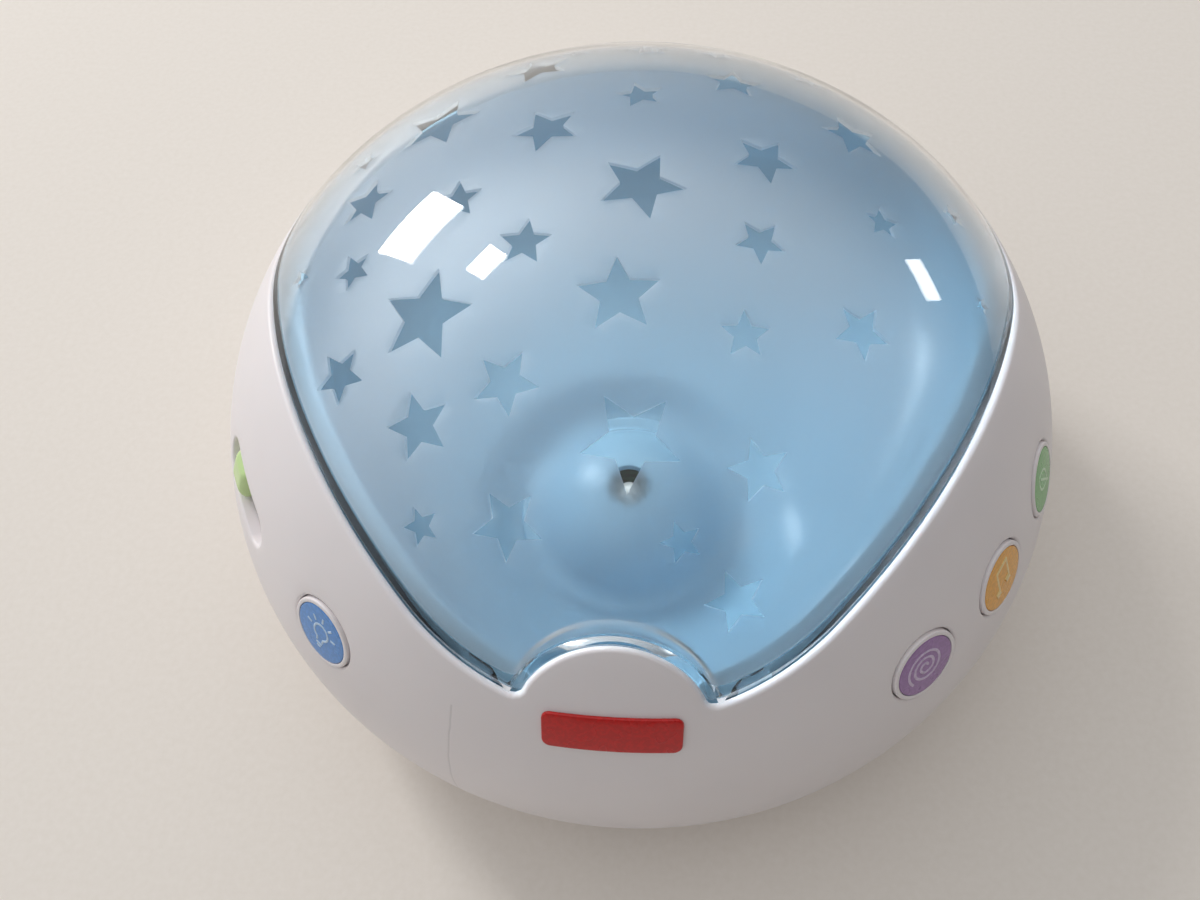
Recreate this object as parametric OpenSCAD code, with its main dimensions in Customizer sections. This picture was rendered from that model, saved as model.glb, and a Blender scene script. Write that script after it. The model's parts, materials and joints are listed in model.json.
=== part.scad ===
/* [Body] */
// Diameter at the parting line, the widest place
body_d = 190; // [184:1:204]
// Height from the table to the top of the dome
body_h = 110; // [104:1:116]
// Height of the parting line between base and housing
parting_z = 35; // [33:1:37]
// How far the crown stands above the circle of the housing wall's curve
crown_lift = 7; // [5:0.5:9]
// Radius of the base wall's downward curve
base_curve_r = 40; // [38:1:43]
// Wall thickness of housing and base
wall = 2.5; // [2.2:0.1:3]
// Height of the base above the table
base_z = 2; // [1.5:0.1:2.5]
// Clearance around fitted pieces
fit_gap = 0.3; // [0.2:0.05:0.4]

/* [Dome window] */
// Distance of the middle of each window side in from the widest line
window_side_in = 25; // [23.5:0.5:26]
// Distance of each rounded window corner in from the widest line
window_corner_in = 13.5; // [12.5:0.5:15]
// Radius of the long window sides
window_curve_r = 160; // [145:1:180]
// Radius of the round tongue at the front
tongue_r = 17.3; // [15.5:0.1:18.5]
// Height of the tongue's centre against the rise of the dome
tongue_share = 0.4933; // [0.48:0.01:0.51]
// Thickness of the clear dome
dome_t = 2.5; // [2.2:0.1:3]
// Width of the dome's lap under the housing
dome_lap = 2.2; // [1.5:0.1:2.5]
// Width of the dome's clear edge wall
dome_edge = 1.6; // [1.4:0.1:2]
// Depth of the dome's clear edge wall below the skin
dome_edge_depth = 5; // [4.6:0.1:5.5]
// Thickness of the frosted star screen
screen_t = 1.2; // [1:0.1:1.5]
// Width of the star screen's thick rim
screen_rim = 2.4; // [2:0.1:3]
// Width of a star's valley against its points
star_valley = 0.46; // [0.38:0.02:0.55]

/* [Badge] */
// Length of the blank badge
badge_l = 25; // [20:1:28]
// Width of the blank badge
badge_w = 8; // [6:0.5:10]
// Corner radius of the blank badge
badge_corner = 1.6; // [1:0.1:2.5]
// Thickness of the blank badge
badge_t = 0.5; // [0.4:0.1:0.8]

/* [Reflector tray] */
// Height of the tray floor's upper face above the parting line
tray_floor_lift = 5; // [4:0.5:7]
// Thickness of the tray
tray_t = 2; // [1.6:0.1:2.4]
// Distance from the window edge in to the tray wall
tray_inset = 4; // [3.5:0.5:5]
// Height of the tray's ears against the rise of the dome
tray_ear_share = 0.3067; // [0.28:0.01:0.32]
// Width of each tray ear
tray_ear_w = 8; // [7:0.5:9]
// Slope at the foot of the round well that surrounds the lamp turret
well_slope = 38; // [36:1:40]
// Height of the tray's shelf above the ground of the well
shelf_lift = 5.8; // [5:0.2:6]
// Radius of the flat middle of the shelf
shelf_r = 36; // [32:1:40]
// Radius of curvature of the dished outer part of the shelf
dish_r = 200; // [190:5:220]
// Radius of the posts that carry the tray
tray_post_r = 2.8; // [2.5:0.1:3]
// Direction of the front tray posts from the front
tray_post_front = 28; // [26:1:30]
// Direction of the rear tray posts from the front
tray_post_rear = 155; // [150:1:160]

/* [Lamp] */
// Distance of the lamp turret in front of the axis
turret_y = 28; // [24:1:32]
// Radius of the turret's foot
turret_r = 21.4; // [20:0.2:23]
// Height of the turret
turret_h = 16; // [14:0.5:18]
// Wall thickness of the turret
turret_t = 1.8; // [1.5:0.1:2.2]
// Radius of the lamp hole in the turret
lamp_hole_r = 4.5; // [4:0.1:6]
// Radius of the lamp
led_r = 2.5; // [2:0.1:3]
// Radius of the lamp board
lamp_board_r = 10.2; // [9.5:0.1:10.6]
// Height of the lamp board above the tray floor
lamp_board_lift = 4; // [3:0.5:5]

/* [Buttons] */
// Direction of the first button on each side from the front
button_first_az = 40.5; // [39:0.5:42]
// Angle between neighbouring buttons
button_pitch = 15.75; // [15.5:0.25:17]
// Height of the button centres against the rise of the dome
button_share = 0.4; // [0.38:0.01:0.41]
// Radius of a button cap
cap_r = 7.65; // [7:0.05:7.9]
// How far the middle of a cap stands out of the skin
cap_proud = 0; // [-0.2:0.1:0.6]
// Wall thickness of a cap
cap_t = 1.3; // [1:0.1:1.6]
// Width of a cap's white ring around its disc
cap_ring = 1; // [0.7:0.1:1.1]
// Thickness of a coloured disc
disc_t = 0.6; // [0.4:0.1:0.8]
// Width of a cap's retaining lip
cap_lip = 1.6; // [1.2:0.1:1.8]
// Travel of a button
button_travel = 1.5; // [1:0.1:1.8]
// Depth of the guide collars below the skin
collar_depth = 5; // [4.6:0.1:5.5]
// Wall thickness of the guide collars
collar_t = 2.4; // [2:0.1:2.6]
// Radius of a switch plunger
plunger_r = 1.6; // [1.3:0.1:1.9]
// Side of a push switch's square body
switch_side = 6.2; // [5.6:0.1:7]
// Height of a push switch's body
switch_h = 2.6; // [2.4:0.1:3.2]

/* [Volume slide] */
// Direction of the volume slot from the front, to the left
slot_az = 64.4; // [63:0.2:66]
// Overall length of the slot
slot_l = 25; // [23:0.5:27]
// Width of the slot
slot_w = 9.5; // [8.5:0.1:10]
// Length of the knob along the slot
knob_l = 8; // [7:0.1:9]
// Knob position at rest, behind the slot's middle
knob_rest = 4.5; // [4:0.1:5]
// Travel of the knob
knob_travel = 10; // [8:0.5:10.5]
// How far the knob stands out of the skin
knob_proud = 0.2; // [0:0.1:1]
// Thickness of the track plate
track_t = 1.6; // [1.2:0.1:2]
// Height of the raised track floor inside the slot
track_rise = 2; // [1:0.1:2.2]

/* [Battery bay] */
// Diameter of a battery cell
cell_d = 14.5; // [14:0.1:15]
// Length of a battery cell
cell_l = 50.5; // [49:0.5:52]
// Number of cells side by side
cell_count = 4; // [3:1:4]
// Room for the contacts at each end of the cells
contact_room = 3.2; // [2.6:0.1:4]
// Gap between the bay and the arm socket
bay_gap = 7; // [6:0.1:8]
// Wall thickness of the bay
bay_t = 2; // [1.6:0.1:2.4]
// Thickness of the battery door
door_t = 2; // [1.6:0.1:2.2]
// Lap of the door under the bay walls
door_lap = 1.5; // [1:0.1:2]

/* [Sound] */
// Gap between the speaker and the bay
speaker_gap = 5.8; // [5:0.1:7]
// Radius of the speaker against the room in front of the bay
speaker_share = 0.36; // [0.33:0.01:0.37]
// Height of the speaker with its magnet
speaker_h = 16; // [14:0.5:18]
// Radius of a grille hole
grille_hole_r = 1.25; // [1:0.05:1.5]
// Distance between the rings of grille holes against the speaker's radius
grille_share = 0.23; // [0.2:0.01:0.25]
// Length of the main board
board_l = 64; // [58:1:66]
// Width of the main board
board_w = 52; // [46:1:54]
// Thickness of the boards
board_t = 1.6; // [1.2:0.1:2]

/* [Crib arm socket] */
// Radius of the socket's bore
socket_bore_r = 6; // [5:0.1:6.5]
// Depth of the socket's bore
socket_depth = 30; // [26:0.5:32]
// Wall thickness of the socket
socket_t = 3; // [2.4:0.1:3.4]
// Height of the socket's axis
socket_z = 20; // [19:0.5:21]

/* [Feet and screws] */
// Radius of a rubber foot
foot_r = 7; // [6:0.1:7.5]
// Depth of a foot's recess in the base
foot_recess = 0.8; // [0.6:0.1:1.2]
// Radius of the large screws' shank
screw_r = 1.5; // [1.3:0.05:1.6]
// Radius of the small screws' shank
small_screw_r = 0.9; // [0.8:0.05:1.1]
// Radius of the housing bosses
boss_r = 4.6; // [4.3:0.1:4.8]
// Distance of the housing bosses in from the widest line
boss_inset = 11; // [10.5:0.1:11.5]
// Height of the seats of the housing screws' heads
screw_seat_z = 16; // [15:0.5:18]
// Height of the bosses in the housing
boss_h = 16; // [14:0.5:18]

/* [Hidden] */
$fn = 96;

white_plastic = "#f2eeee";
pale_blue = "#9cc3e0";
frost_blue = "#b7d3e8";
steel_grey = "#b9bcc0";
board_green = "#2f6b46";
dark_grey = "#3a3c40";
clear_plastic = "#dfeaf2";
dome_alpha = 0.4;
screen_alpha = 0.8;
badge_red = "#d8433f";
knob_green = "#b4da84";
lamp_cream = "#f6f2d8";
sleeve_blue = "#2b3a6b";
cell_gold = "#c9a14a";
nickel_grey = "#d9d9d6";
rubber_grey = "#8f9498";

// Small allowances: overshoot of cuts, margin to an edge, room at a screw's tip, bite of a screw
cut_over = 1;
edge_margin = 0.6;
post_gap = 0.8;
tip_room = 0.5;
screw_bite = 4;

// Body curves: the housing wall turns about one centre, the crown about another on the axis
body_r = body_d / 2;
rise = body_h - parting_z;
wall_curve_r = rise - crown_lift;
wall_cx = body_r - wall_curve_r;
base_cx = body_r - base_curve_r;
crown_r = (wall_cx * wall_cx + rise * rise - wall_curve_r * wall_curve_r) / (2 * (rise - wall_curve_r));
crown_z = body_h - crown_r;
meet_angle = atan2(parting_z - crown_z, wall_cx);
meet_r = crown_r * cos(meet_angle);
base_floor_z = base_z + wall;
base_lip_t = 2;
base_lip_h = 3;
base_lip_root = 12;
flat_r = base_cx + sqrt(pow(base_curve_r, 2) - pow(parting_z - base_z, 2));

function skin_el(z) = asin((z - parting_z) / wall_curve_r);

// Window outline: three large side arcs joined by three corner arcs
window_side = body_r - window_side_in;
window_corner = body_r - window_corner_in;
side_gap = window_curve_r - window_side;
corner_gap = window_curve_r - window_corner;
corner_c = (pow(corner_gap, 2) - pow(side_gap, 2)) / (side_gap - 2 * corner_gap);
corner_r = window_corner - corner_c;
corner_half = atan2(side_gap * sin(60), corner_c + side_gap / 2);
window_low = sqrt(pow(wall_curve_r - dome_edge_depth, 2) - pow(window_corner - wall_cx, 2));
window_cut_z = parting_z + window_low - edge_margin;
window_cut_h = body_h - window_cut_z + cut_over;
rim_over = 11;
rim_el = acos((window_side - rim_over - wall_cx) / wall_curve_r);
tongue_z = parting_z + tongue_share * rise;
tongue_el = skin_el(tongue_z);
tongue_reach = 14;

// Distance of the window outline from the axis in a direction from the front
corner_end = atan2(corner_r * sin(corner_half), corner_c + corner_r * cos(corner_half));
function from_corner(az) = abs((az + 420) % 120 - 60);
function corner_arc(turn) = corner_c * cos(turn) + sqrt(pow(corner_r, 2) - pow(corner_c * sin(turn), 2));
function side_arc(turn) = sqrt(pow(window_curve_r, 2) - pow(side_gap * sin(turn), 2)) - side_gap * cos(turn);
function window_r(az) =
  from_corner(az) < corner_end ? corner_arc(from_corner(az)) : side_arc(60 - from_corner(az));

// Depths below the skin of the nested dome, screen and tray
lap_top = wall + fit_gap;
screen_top = dome_t + fit_gap;
screen_bottom = screen_top + screen_t;
tray_top = dome_edge_depth + fit_gap;
tray_bottom = tray_top + tray_t;
screen_inset = dome_edge + 2 * fit_gap;

// Stars in a window of a set size: direction from the front, distance from the axis, radius and turn
star_window = 70;
star_scale = window_side / star_window;
stars = [
  [-89, 67.5, 2.75, 15], [-85, 54.5, 4.5, 3], [-103.5, 56.5, 6.5, -14], [-101.5, 35, 5.25, -3],
  [-75.5, 20.5, 5.25, 35], [-128.5, 54.5, 9.5, 7], [-143, 31, 7.25, -11], [-155.5, 57, 7.75, -2],
  [-165.5, 63, 3.25, 5], [-179, 36, 5.25, 15], [180, 61, 5, 15], [174.5, 8, 8.5, -17],
  [-7, 16.5, 7.75, -23], [-64, 41.5, 9.5, 17], [157.5, 48, 6.5, 20], [127.5, 54, 7.25, 1],
  [127, 30, 6.75, 25], [82.5, 23, 5, -9], [100, 47.5, 4, 10], [106.5, 66.5, 3.25, 25],
  [88, 67.5, 2, 0], [42.5, 30, 4.75, -3], [67, 45, 5.75, 12], [147.5, 66, 4, 10],
  [-63.5, 60, 5.75, -7], [-33, 38.5, 6.25, -30], [-43.5, 53, 6.5, 24], [2, 42, 9, -4],
  [27.5, 50.5, 5.75, 28], [-32.5, 65, 3.75, 17], [-19, 58.5, 6.5, 16], [10.5, 58, 3.75, -23],
  [17.5, 68, 5.75, -26], [166, 63, 3.75, -30], [-115.5, 65.5, 3.5, -5]
];

// Tray and lamp
tray_floor_z = parting_z + tray_floor_lift;
tray_ear_z = parting_z + tray_ear_share * rise;
tray_floor_low = tray_floor_z - tray_t;
tray_ear_root = 12;
tray_ear_top = tray_ear_z + tray_t + tip_room;
tray_post_az = [tray_post_front, -tray_post_front, tray_post_rear, -tray_post_rear];
turret_sphere_r = (turret_r * turret_r + turret_h * turret_h) / (2 * turret_h);
turret_centre_z = tray_floor_z + turret_h - turret_sphere_r;
turret_flange = 3;
well_margin = 1.6;
well_r = turret_r + turret_flange + well_margin;
well_ball_r = well_r / sin(well_slope);
well_ball_z = tray_floor_z + well_ball_r * cos(well_slope);
shelf_z = tray_floor_z + shelf_lift;
dish_ball_z = shelf_z + sqrt(dish_r * dish_r - shelf_r * shelf_r);
turret_boss_r = 2.6;
turret_boss_ring = lamp_board_r + turret_boss_r + 2 * fit_gap;
turret_boss_count = 3;
lamp_board_z = tray_floor_z + lamp_board_lift;
lamp_post_r = 2.2;
lamp_pin_r = 1.2;
lamp_post_x = lamp_board_r - lamp_post_r - edge_margin;
lamp_pin_top = 0.8;
led_body_h = 5.4;
led_flange = 0.5;
led_flange_h = 1;

function tray_post_ring(az) = window_r(az) + dome_lap + 2 * fit_gap + tray_post_r;

// Buttons
button_names = ["light_button", "swirl_button", "music_button", "nature_button"];
button_az = [
  -button_first_az, button_first_az, button_first_az + button_pitch, button_first_az + 2 * button_pitch
];
button_colours = ["#3f93d6", "#9a79b4", "#f0a93c", "#58a558"];
button_el = skin_el(parting_z + button_share * rise);
hole_r = cap_r + fit_gap;
lip_top = -collar_depth - fit_gap;
lip_t = 1.2;
lip_r = hole_r + cap_lip;
collar_r = hole_r + collar_t;
cap_roof = cap_proud - disc_t - cap_t;
disc_r = cap_r - cap_ring;
stem_r = 2.2;
stem_end = lip_top - lip_t - button_travel;
plunger_over = 1;
plunger_l = button_travel + plunger_over;
switch_top = stem_end - button_travel - fit_gap;
switch_floor = 0.3;
button_board_top = switch_top - switch_h;
button_board_w = 18;
button_board_up = 9;
button_post_r = 2.2;
button_post_x = lip_r + button_post_r + post_gap;
button_post_y = 6.6;
button_board_down = button_post_x + button_post_r + post_gap;

// Volume slide, in the frame of the skin at the slot
slot_r = slot_w / 2;
slot_half = slot_l / 2 - slot_r;
frame_depth = collar_depth;
frame_r = slot_r + collar_t;
frame_ends = 5;
frame_half = slot_half + frame_ends;
track_bottom = -frame_depth - track_t;
knob_w = slot_w - 3 * fit_gap;
knob_bottom = -frame_depth + track_rise + fit_gap;
knob_stem_w = 2.2;
knob_stem_over = 2.6;
knob_stem_end = track_bottom - knob_stem_over;
knob_stem_root = 1;
knob_round_ratio = 0.62;
knob_round_r = knob_w * knob_round_ratio;
stem_slot_w = knob_stem_w + 2 * fit_gap;
stem_slot_l = knob_travel + knob_stem_w + 2 * fit_gap;
stem_slot_y = knob_travel / 2 - knob_rest;
volume_switch_ends = 5;
volume_switch_l = stem_slot_l + volume_switch_ends;
volume_switch_w = 7;
volume_switch_h = 6;
volume_ear_t = 0.8;
volume_screw_gap = 1.6;
volume_screw_y = slot_half + slot_r + volume_screw_gap;
volume_ear_end = 2.4;
volume_ear_l = volume_screw_y + volume_ear_end;
volume_screw_bite = 2.6;

// Arm socket
socket_r = socket_bore_r + socket_t;
socket_end_y = skin_base_r(socket_z + socket_r) - wall / 2;
socket_floor_y = socket_end_y - socket_depth;
socket_back_y = socket_floor_y - socket_t;
saddle_w = 10;
saddle_l = 5;

// Battery bay, door and main board
cell_gap = 0.7;
cell_pitch = cell_d + cell_gap;
bay_w = cell_count * cell_pitch + 2 * fit_gap;
bay_l = cell_l + 2 * contact_room;
door_top = base_z + door_t;
bay_roof = door_top + cell_d + 2 * fit_gap;
bay_top = bay_roof + bay_t;
door_w = bay_w + 2 * door_lap;
door_l = bay_l + 2 * door_lap;
door_ear_r = 5;
door_ear_out = 3.5;
door_ear_x = door_w / 2 + door_ear_out;
bay_outer_w = door_w + 2 * fit_gap + 2 * bay_t;
bay_outer_l = door_l + 2 * fit_gap + 2 * bay_t;
bay_y = socket_back_y - bay_gap - bay_outer_l / 2;
bay_front_y = bay_y - bay_outer_l / 2;
door_pad_r = door_ear_r + fit_gap + bay_t;
door_pad_h = 8;
door_pad_top = door_top + door_pad_h;
door_screw_l = 7;
contact_t = 0.6;
contact_r = 3;
contact_margin = 2;
cell_z = door_top + fit_gap + cell_d / 2;
nub_r = 2.6;
nub_h = 1.4;
board_post_h = 3;
board_z = bay_top + board_post_h;
board_post_r = 3;
board_post_x = board_l / 2 - board_post_r - edge_margin;
board_post_y = board_w / 2 - board_post_r - edge_margin;
chip_l = 16;
chip_w = 9;
chip_h = 2.2;
capacitor_r = 3;
capacitor_h = 6.5;

function cell_x(i) = (i - (cell_count - 1) / 2) * cell_pitch;

// Speaker
speaker_r = speaker_share * (flat_r + bay_front_y);
speaker_y = speaker_r + speaker_gap - bay_front_y;
grille_pitch = grille_share * speaker_r;
speaker_flange_t = 1.2;
speaker_post_r = 2.6;
speaker_post_ring = speaker_r + speaker_post_r + fit_gap;
speaker_post_az = [50, 130, 230, 310];
speaker_post_top = base_floor_z + speaker_flange_t;
speaker_neck_r = speaker_r / 2;
speaker_neck_z = base_floor_z + speaker_h / 2;
speaker_wall = 1;
magnet_r = speaker_neck_r - edge_margin;
speaker_neck_lap = 3;
speaker_edge_w = 3;
speaker_head_r = speaker_post_r + edge_margin + fit_gap;
cone_t = 1;
cone_top = speaker_neck_z - 3 * cone_t;
cone_edge_z = base_floor_z + fit_gap / 2;
cone_edge_t = 0.8;
cone_edge_r = speaker_r - speaker_edge_w;
cone_middle_r = cone_edge_r / 3;
grille_rings = 3;

// Feet and screws
boss_ring = body_r - boss_inset;
boss_az = [0, 100, -100, 150, -150];
boss_rib_t = 2;
foot_inset = 4.5;
foot_ring = flat_r - foot_r - foot_inset;
foot_az = [45, 135, 225, 315];
head_ratio = 2;
head_h_ratio = 1.4;
head_r = screw_r * head_ratio;
head_h = screw_r * head_h_ratio;
small_head_r = small_screw_r * head_ratio;
small_head_h = small_screw_r * head_h_ratio;
recess_l_ratio = 1.2;
recess_w_ratio = 0.28;
screw_gap = 0.12;
housing_screw_l = parting_z - screw_seat_z + boss_h / 2;
tray_screw_l = tray_ear_top - tray_ear_z + screw_bite;
turret_screw_l = tray_t + screw_bite;
button_screw_l = board_t + screw_bite;
volume_screw_l = volume_ear_t + track_t + volume_screw_bite;
speaker_screw_l = speaker_flange_t + wall / 2 - screw_gap;
board_screw_l = board_t + board_post_h;

function skin_base_r(z) = base_cx + sqrt(pow(base_curve_r, 2) - pow(parting_z - z, 2));

// Turns a direction from the front into the frame, with X pointing outward
module facing(az) {
  rotate([0, 0, az - 90]) children();
}

// Puts children on the housing skin, with Z along the outward normal and X down the slope
module on_skin(az, el) {
  facing(az)
    translate([wall_cx + wall_curve_r * cos(el), 0, parting_z + wall_curve_r * sin(el)])
      rotate([0, 90 - el, 0]) children();
}

// Puts children on the dome at a distance from the axis, with Z along the outward normal
module on_dome(az, distance) {
  el = distance < meet_r ? acos(distance / crown_r) : acos((distance - wall_cx) / wall_curve_r);
  cx = distance < meet_r ? 0 : wall_cx;
  cz = distance < meet_r ? crown_z : parting_z;
  arc_r = distance < meet_r ? crown_r : wall_curve_r;
  facing(az) translate([cx + arc_r * cos(el), 0, cz + arc_r * sin(el)]) rotate([0, 90 - el, 0]) children();
}

module wedge(from, to, reach) {
  polygon([[0, 0], [reach * cos(from), reach * sin(from)], [reach * cos(to), reach * sin(to)]]);
}

module arc_band(cx, cz, outer, inner, from, to) {
  translate([cx, cz]) intersection() {
    difference() {
      circle(outer);
      circle(inner);
    }
    wedge(from, to, 2 * outer);
  }
}

// Layer of the housing wall between two depths below the skin
module wall_layer(top, bottom, to) {
  rotate_extrude() arc_band(wall_cx, parting_z, wall_curve_r - top, wall_curve_r - bottom, 0, to);
}

// Half section above the parting line that lies under a depth below the skin: crown arc, then wall arc
module skin_section(depth) {
  far = 2 * crown_r;
  intersection() {
    translate([0, parting_z]) square([far, far]);
    difference() {
      translate([0, crown_z]) circle(crown_r - depth);
      difference() {
        translate([wall_cx, parting_z]) polygon([
          [0, -far], [0, 0], [far * cos(meet_angle), far * sin(meet_angle)],
          [far, far * sin(meet_angle)], [far, -far]
        ]);
        translate([wall_cx, parting_z]) circle(wall_curve_r - depth);
      }
    }
  }
}

// Everything above the parting line that lies under a depth below the skin
module under_skin(depth) {
  rotate_extrude() skin_section(depth);
}

// Layer of the whole dome between two depths below the skin
module dome_layer(top, bottom) {
  rotate_extrude() difference() {
    skin_section(top);
    skin_section(bottom);
  }
}

// Three-cornered window outline, grown or shrunk evenly: three side arcs with rounded corners
module window_outline(grow) {
  difference() {
    intersection_for(turn = [-30, 90, 210]) rotate(turn) translate([-side_gap, 0])
      circle(window_curve_r + grow);
    for (turn = [-90, 30, 150]) rotate(turn) translate([corner_c, 0]) difference() {
      wedge(-corner_half, corner_half, 4 * corner_r);
      circle(corner_r + grow);
    }
  }
}

module window_prism(grow) {
  translate([0, 0, window_cut_z]) linear_extrude(window_cut_h) window_outline(grow);
}

module tongue_cylinder(grow) {
  on_skin(0, tongue_el) translate([0, 0, -tongue_reach]) cylinder(r = tongue_r + grow, h = 2 * tongue_reach);
}

module stadium(half, r) {
  translate([0, half]) circle(r);
  translate([0, -half]) circle(r);
  square([2 * r, 2 * half], center = true);
}

module rounded_plate(half_w, half_l, r) {
  square([2 * half_w, 2 * (half_l - r)], center = true);
  square([2 * (half_w - r), 2 * half_l], center = true);
  for (x = [-1, 1], y = [-1, 1]) translate([x * (half_w - r), y * (half_l - r)]) circle(r);
}

module star(r) {
  polygon([for (i = [0:9]) (i % 2 == 0 ? r : star_valley * r) * [cos(36 * i), sin(36 * i)]]);
}

// Pan-head screw with its head above the origin and a cross recess
module screw(shank, head, height, length) {
  difference() {
    union() {
      cylinder(r = head, h = height);
      translate([0, 0, -length]) cylinder(r = shank, h = length + height / 2);
    }
    for (turn = [0, 90]) rotate(turn) translate([0, 0, height])
      cube([head * recess_l_ratio, head * recess_w_ratio, height], center = true);
  }
}

module at_bosses() {
  for (az = boss_az) facing(az) translate([boss_ring, 0, 0]) children();
}

module at_tray_posts() {
  for (az = tray_post_az) facing(az) translate([tray_post_ring(az), 0, 0]) children();
}

module at_button_posts() {
  for (side = [-1, 1]) translate([button_post_x, side * button_post_y, 0]) children();
}

module at_volume_screws() {
  for (side = [-1, 1]) translate([0, side * volume_screw_y, 0]) children();
}

module at_turret_bosses() {
  translate([0, -turret_y, 0]) for (i = [0:turret_boss_count - 1])
    rotate(360 / turret_boss_count * i + 90) translate([turret_boss_ring, 0, 0]) children();
}

module at_speaker_posts() {
  translate([0, -speaker_y, 0]) for (az = speaker_post_az)
    rotate(az) translate([speaker_post_ring, 0, 0]) children();
}

module at_board_posts() {
  for (x = [-1, 1], y = [-1, 1]) translate([x * board_post_x, bay_y + y * board_post_y, 0]) children();
}

module at_door_ears() {
  for (side = [-1, 1]) translate([side * door_ear_x, bay_y, 0]) children();
}

module housing_fixtures() {
  for (az = button_az) on_skin(az, button_el) {
    translate([0, 0, -collar_depth]) cylinder(r = collar_r, h = collar_depth);
    at_button_posts() translate([0, 0, button_board_top]) cylinder(r = button_post_r, h = -button_board_top);
  }
  on_skin(-slot_az, button_el) translate([0, 0, -frame_depth])
    linear_extrude(frame_depth) stadium(frame_half, frame_r);
  at_bosses() {
    translate([0, 0, parting_z]) cylinder(r = boss_r, h = boss_h);
    translate([0, -boss_rib_t / 2, parting_z + boss_h / 4])
      cube([body_r - boss_ring, boss_rib_t, boss_h / 2]);
  }
  at_tray_posts() translate([0, 0, tray_ear_top]) cylinder(r = tray_post_r, h = body_h - tray_ear_top);
}

module housing_cuts() {
  difference() {
    window_prism(0);
    tongue_cylinder(0);
  }
  for (az = button_az) on_skin(az, button_el) {
    translate([0, 0, -2 * collar_depth]) cylinder(r = hole_r, h = 3 * collar_depth);
    at_button_posts() translate([0, 0, button_board_top - cut_over])
      cylinder(r = small_screw_r + screw_gap, h = screw_bite + cut_over + tip_room);
  }
  on_skin(-slot_az, button_el) {
    translate([0, 0, -2 * frame_depth]) linear_extrude(3 * frame_depth) stadium(slot_half, slot_r);
    at_volume_screws() translate([0, 0, -frame_depth - cut_over])
      cylinder(r = small_screw_r + screw_gap, h = volume_screw_bite + cut_over + tip_room);
  }
  at_bosses() translate([0, 0, parting_z - cut_over])
    cylinder(r = screw_r + screw_gap, h = boss_h / 2 + cut_over + tip_room);
  at_tray_posts() translate([0, 0, tray_ear_top - cut_over])
    cylinder(r = small_screw_r + screw_gap, h = screw_bite + cut_over + tip_room);
}

module upper_housing() {
  color(white_plastic) difference() {
    union() {
      wall_layer(0, wall, rim_el);
      intersection() {
        under_skin(wall / 2);
        union() housing_fixtures();
      }
    }
    housing_cuts();
  }
}

module base_fill(depth) {
  low = base_z + depth;
  intersection() {
    translate([base_cx, parting_z]) circle(base_curve_r - depth);
    translate([base_cx, low]) square([base_curve_r, parting_z - low]);
  }
  translate([0, low]) square([base_cx, parting_z - low]);
}

module door_outline(grow) {
  square([door_w + 2 * grow, door_l + 2 * grow], center = true);
  for (side = [-1, 1]) translate([side * door_ear_x, 0]) circle(door_ear_r + grow);
}

module base_lip() {
  lip_outer = wall_cx + wall_curve_r - wall - fit_gap;
  translate([lip_outer - base_lip_t, parting_z - base_lip_root])
    square([base_lip_t, base_lip_root + base_lip_h]);
}

module base_solids() {
  rotate_extrude() difference() {
    base_fill(0);
    base_fill(wall);
  }
  rotate_extrude() base_lip();
  intersection() {
    rotate_extrude() base_fill(wall / 2);
    at_bosses() cylinder(r = boss_r, h = parting_z);
  }
  translate([-bay_outer_w / 2, bay_y - bay_outer_l / 2, base_floor_z - wall / 2])
    cube([bay_outer_w, bay_outer_l, bay_top - base_floor_z + wall / 2]);
  at_door_ears() translate([0, 0, base_floor_z - wall / 2])
    cylinder(r = door_pad_r, h = door_pad_top - base_floor_z + wall / 2);
  at_board_posts() translate([0, 0, bay_top - bay_t / 2])
    cylinder(r = board_post_r, h = board_post_h + bay_t / 2);
  at_speaker_posts() translate([0, 0, base_floor_z - wall / 2])
    cylinder(r = speaker_post_r, h = speaker_flange_t + wall / 2);
  translate([-saddle_w / 2, socket_floor_y - saddle_l / 2, base_floor_z - wall / 2])
    cube([saddle_w, saddle_l, socket_z - socket_r - fit_gap - base_floor_z + wall / 2]);
}

module base_cuts() {
  at_bosses() {
    cylinder(r = head_r + fit_gap, h = screw_seat_z);
    cylinder(r = screw_r + fit_gap, h = body_h);
  }
  translate([0, bay_y, base_z - cut_over]) linear_extrude(door_t + cut_over) door_outline(fit_gap);
  translate([-bay_w / 2, bay_y - bay_l / 2, base_z]) cube([bay_w, bay_l, bay_roof - base_z]);
  at_door_ears() translate([0, 0, base_z]) cylinder(r = small_screw_r + fit_gap, h = door_t + door_screw_l);
  at_board_posts() translate([0, 0, bay_top])
    cylinder(r = small_screw_r + screw_gap, h = board_post_h + cut_over);
  at_speaker_posts() translate([0, 0, base_floor_z - wall / 2])
    cylinder(r = small_screw_r + screw_gap, h = wall + speaker_flange_t);
  translate([0, -speaker_y, base_z - cut_over]) {
    cylinder(r = grille_hole_r, h = wall + 2 * cut_over);
    for (ring = [1:grille_rings], i = [0:6 * ring - 1]) rotate(60 * i / ring)
      translate([ring * grille_pitch, 0, 0]) cylinder(r = grille_hole_r, h = wall + 2 * cut_over);
  }
  for (az = foot_az) facing(az) translate([foot_ring, 0, base_z - cut_over])
    cylinder(r = foot_r + fit_gap, h = foot_recess + cut_over);
  translate([0, socket_floor_y, socket_z]) rotate([-90, 0, 0])
    cylinder(r = socket_r + fit_gap / 2, h = body_r);
}

module base_tray() {
  color(white_plastic) difference() {
    base_solids();
    base_cuts();
  }
}

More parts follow.
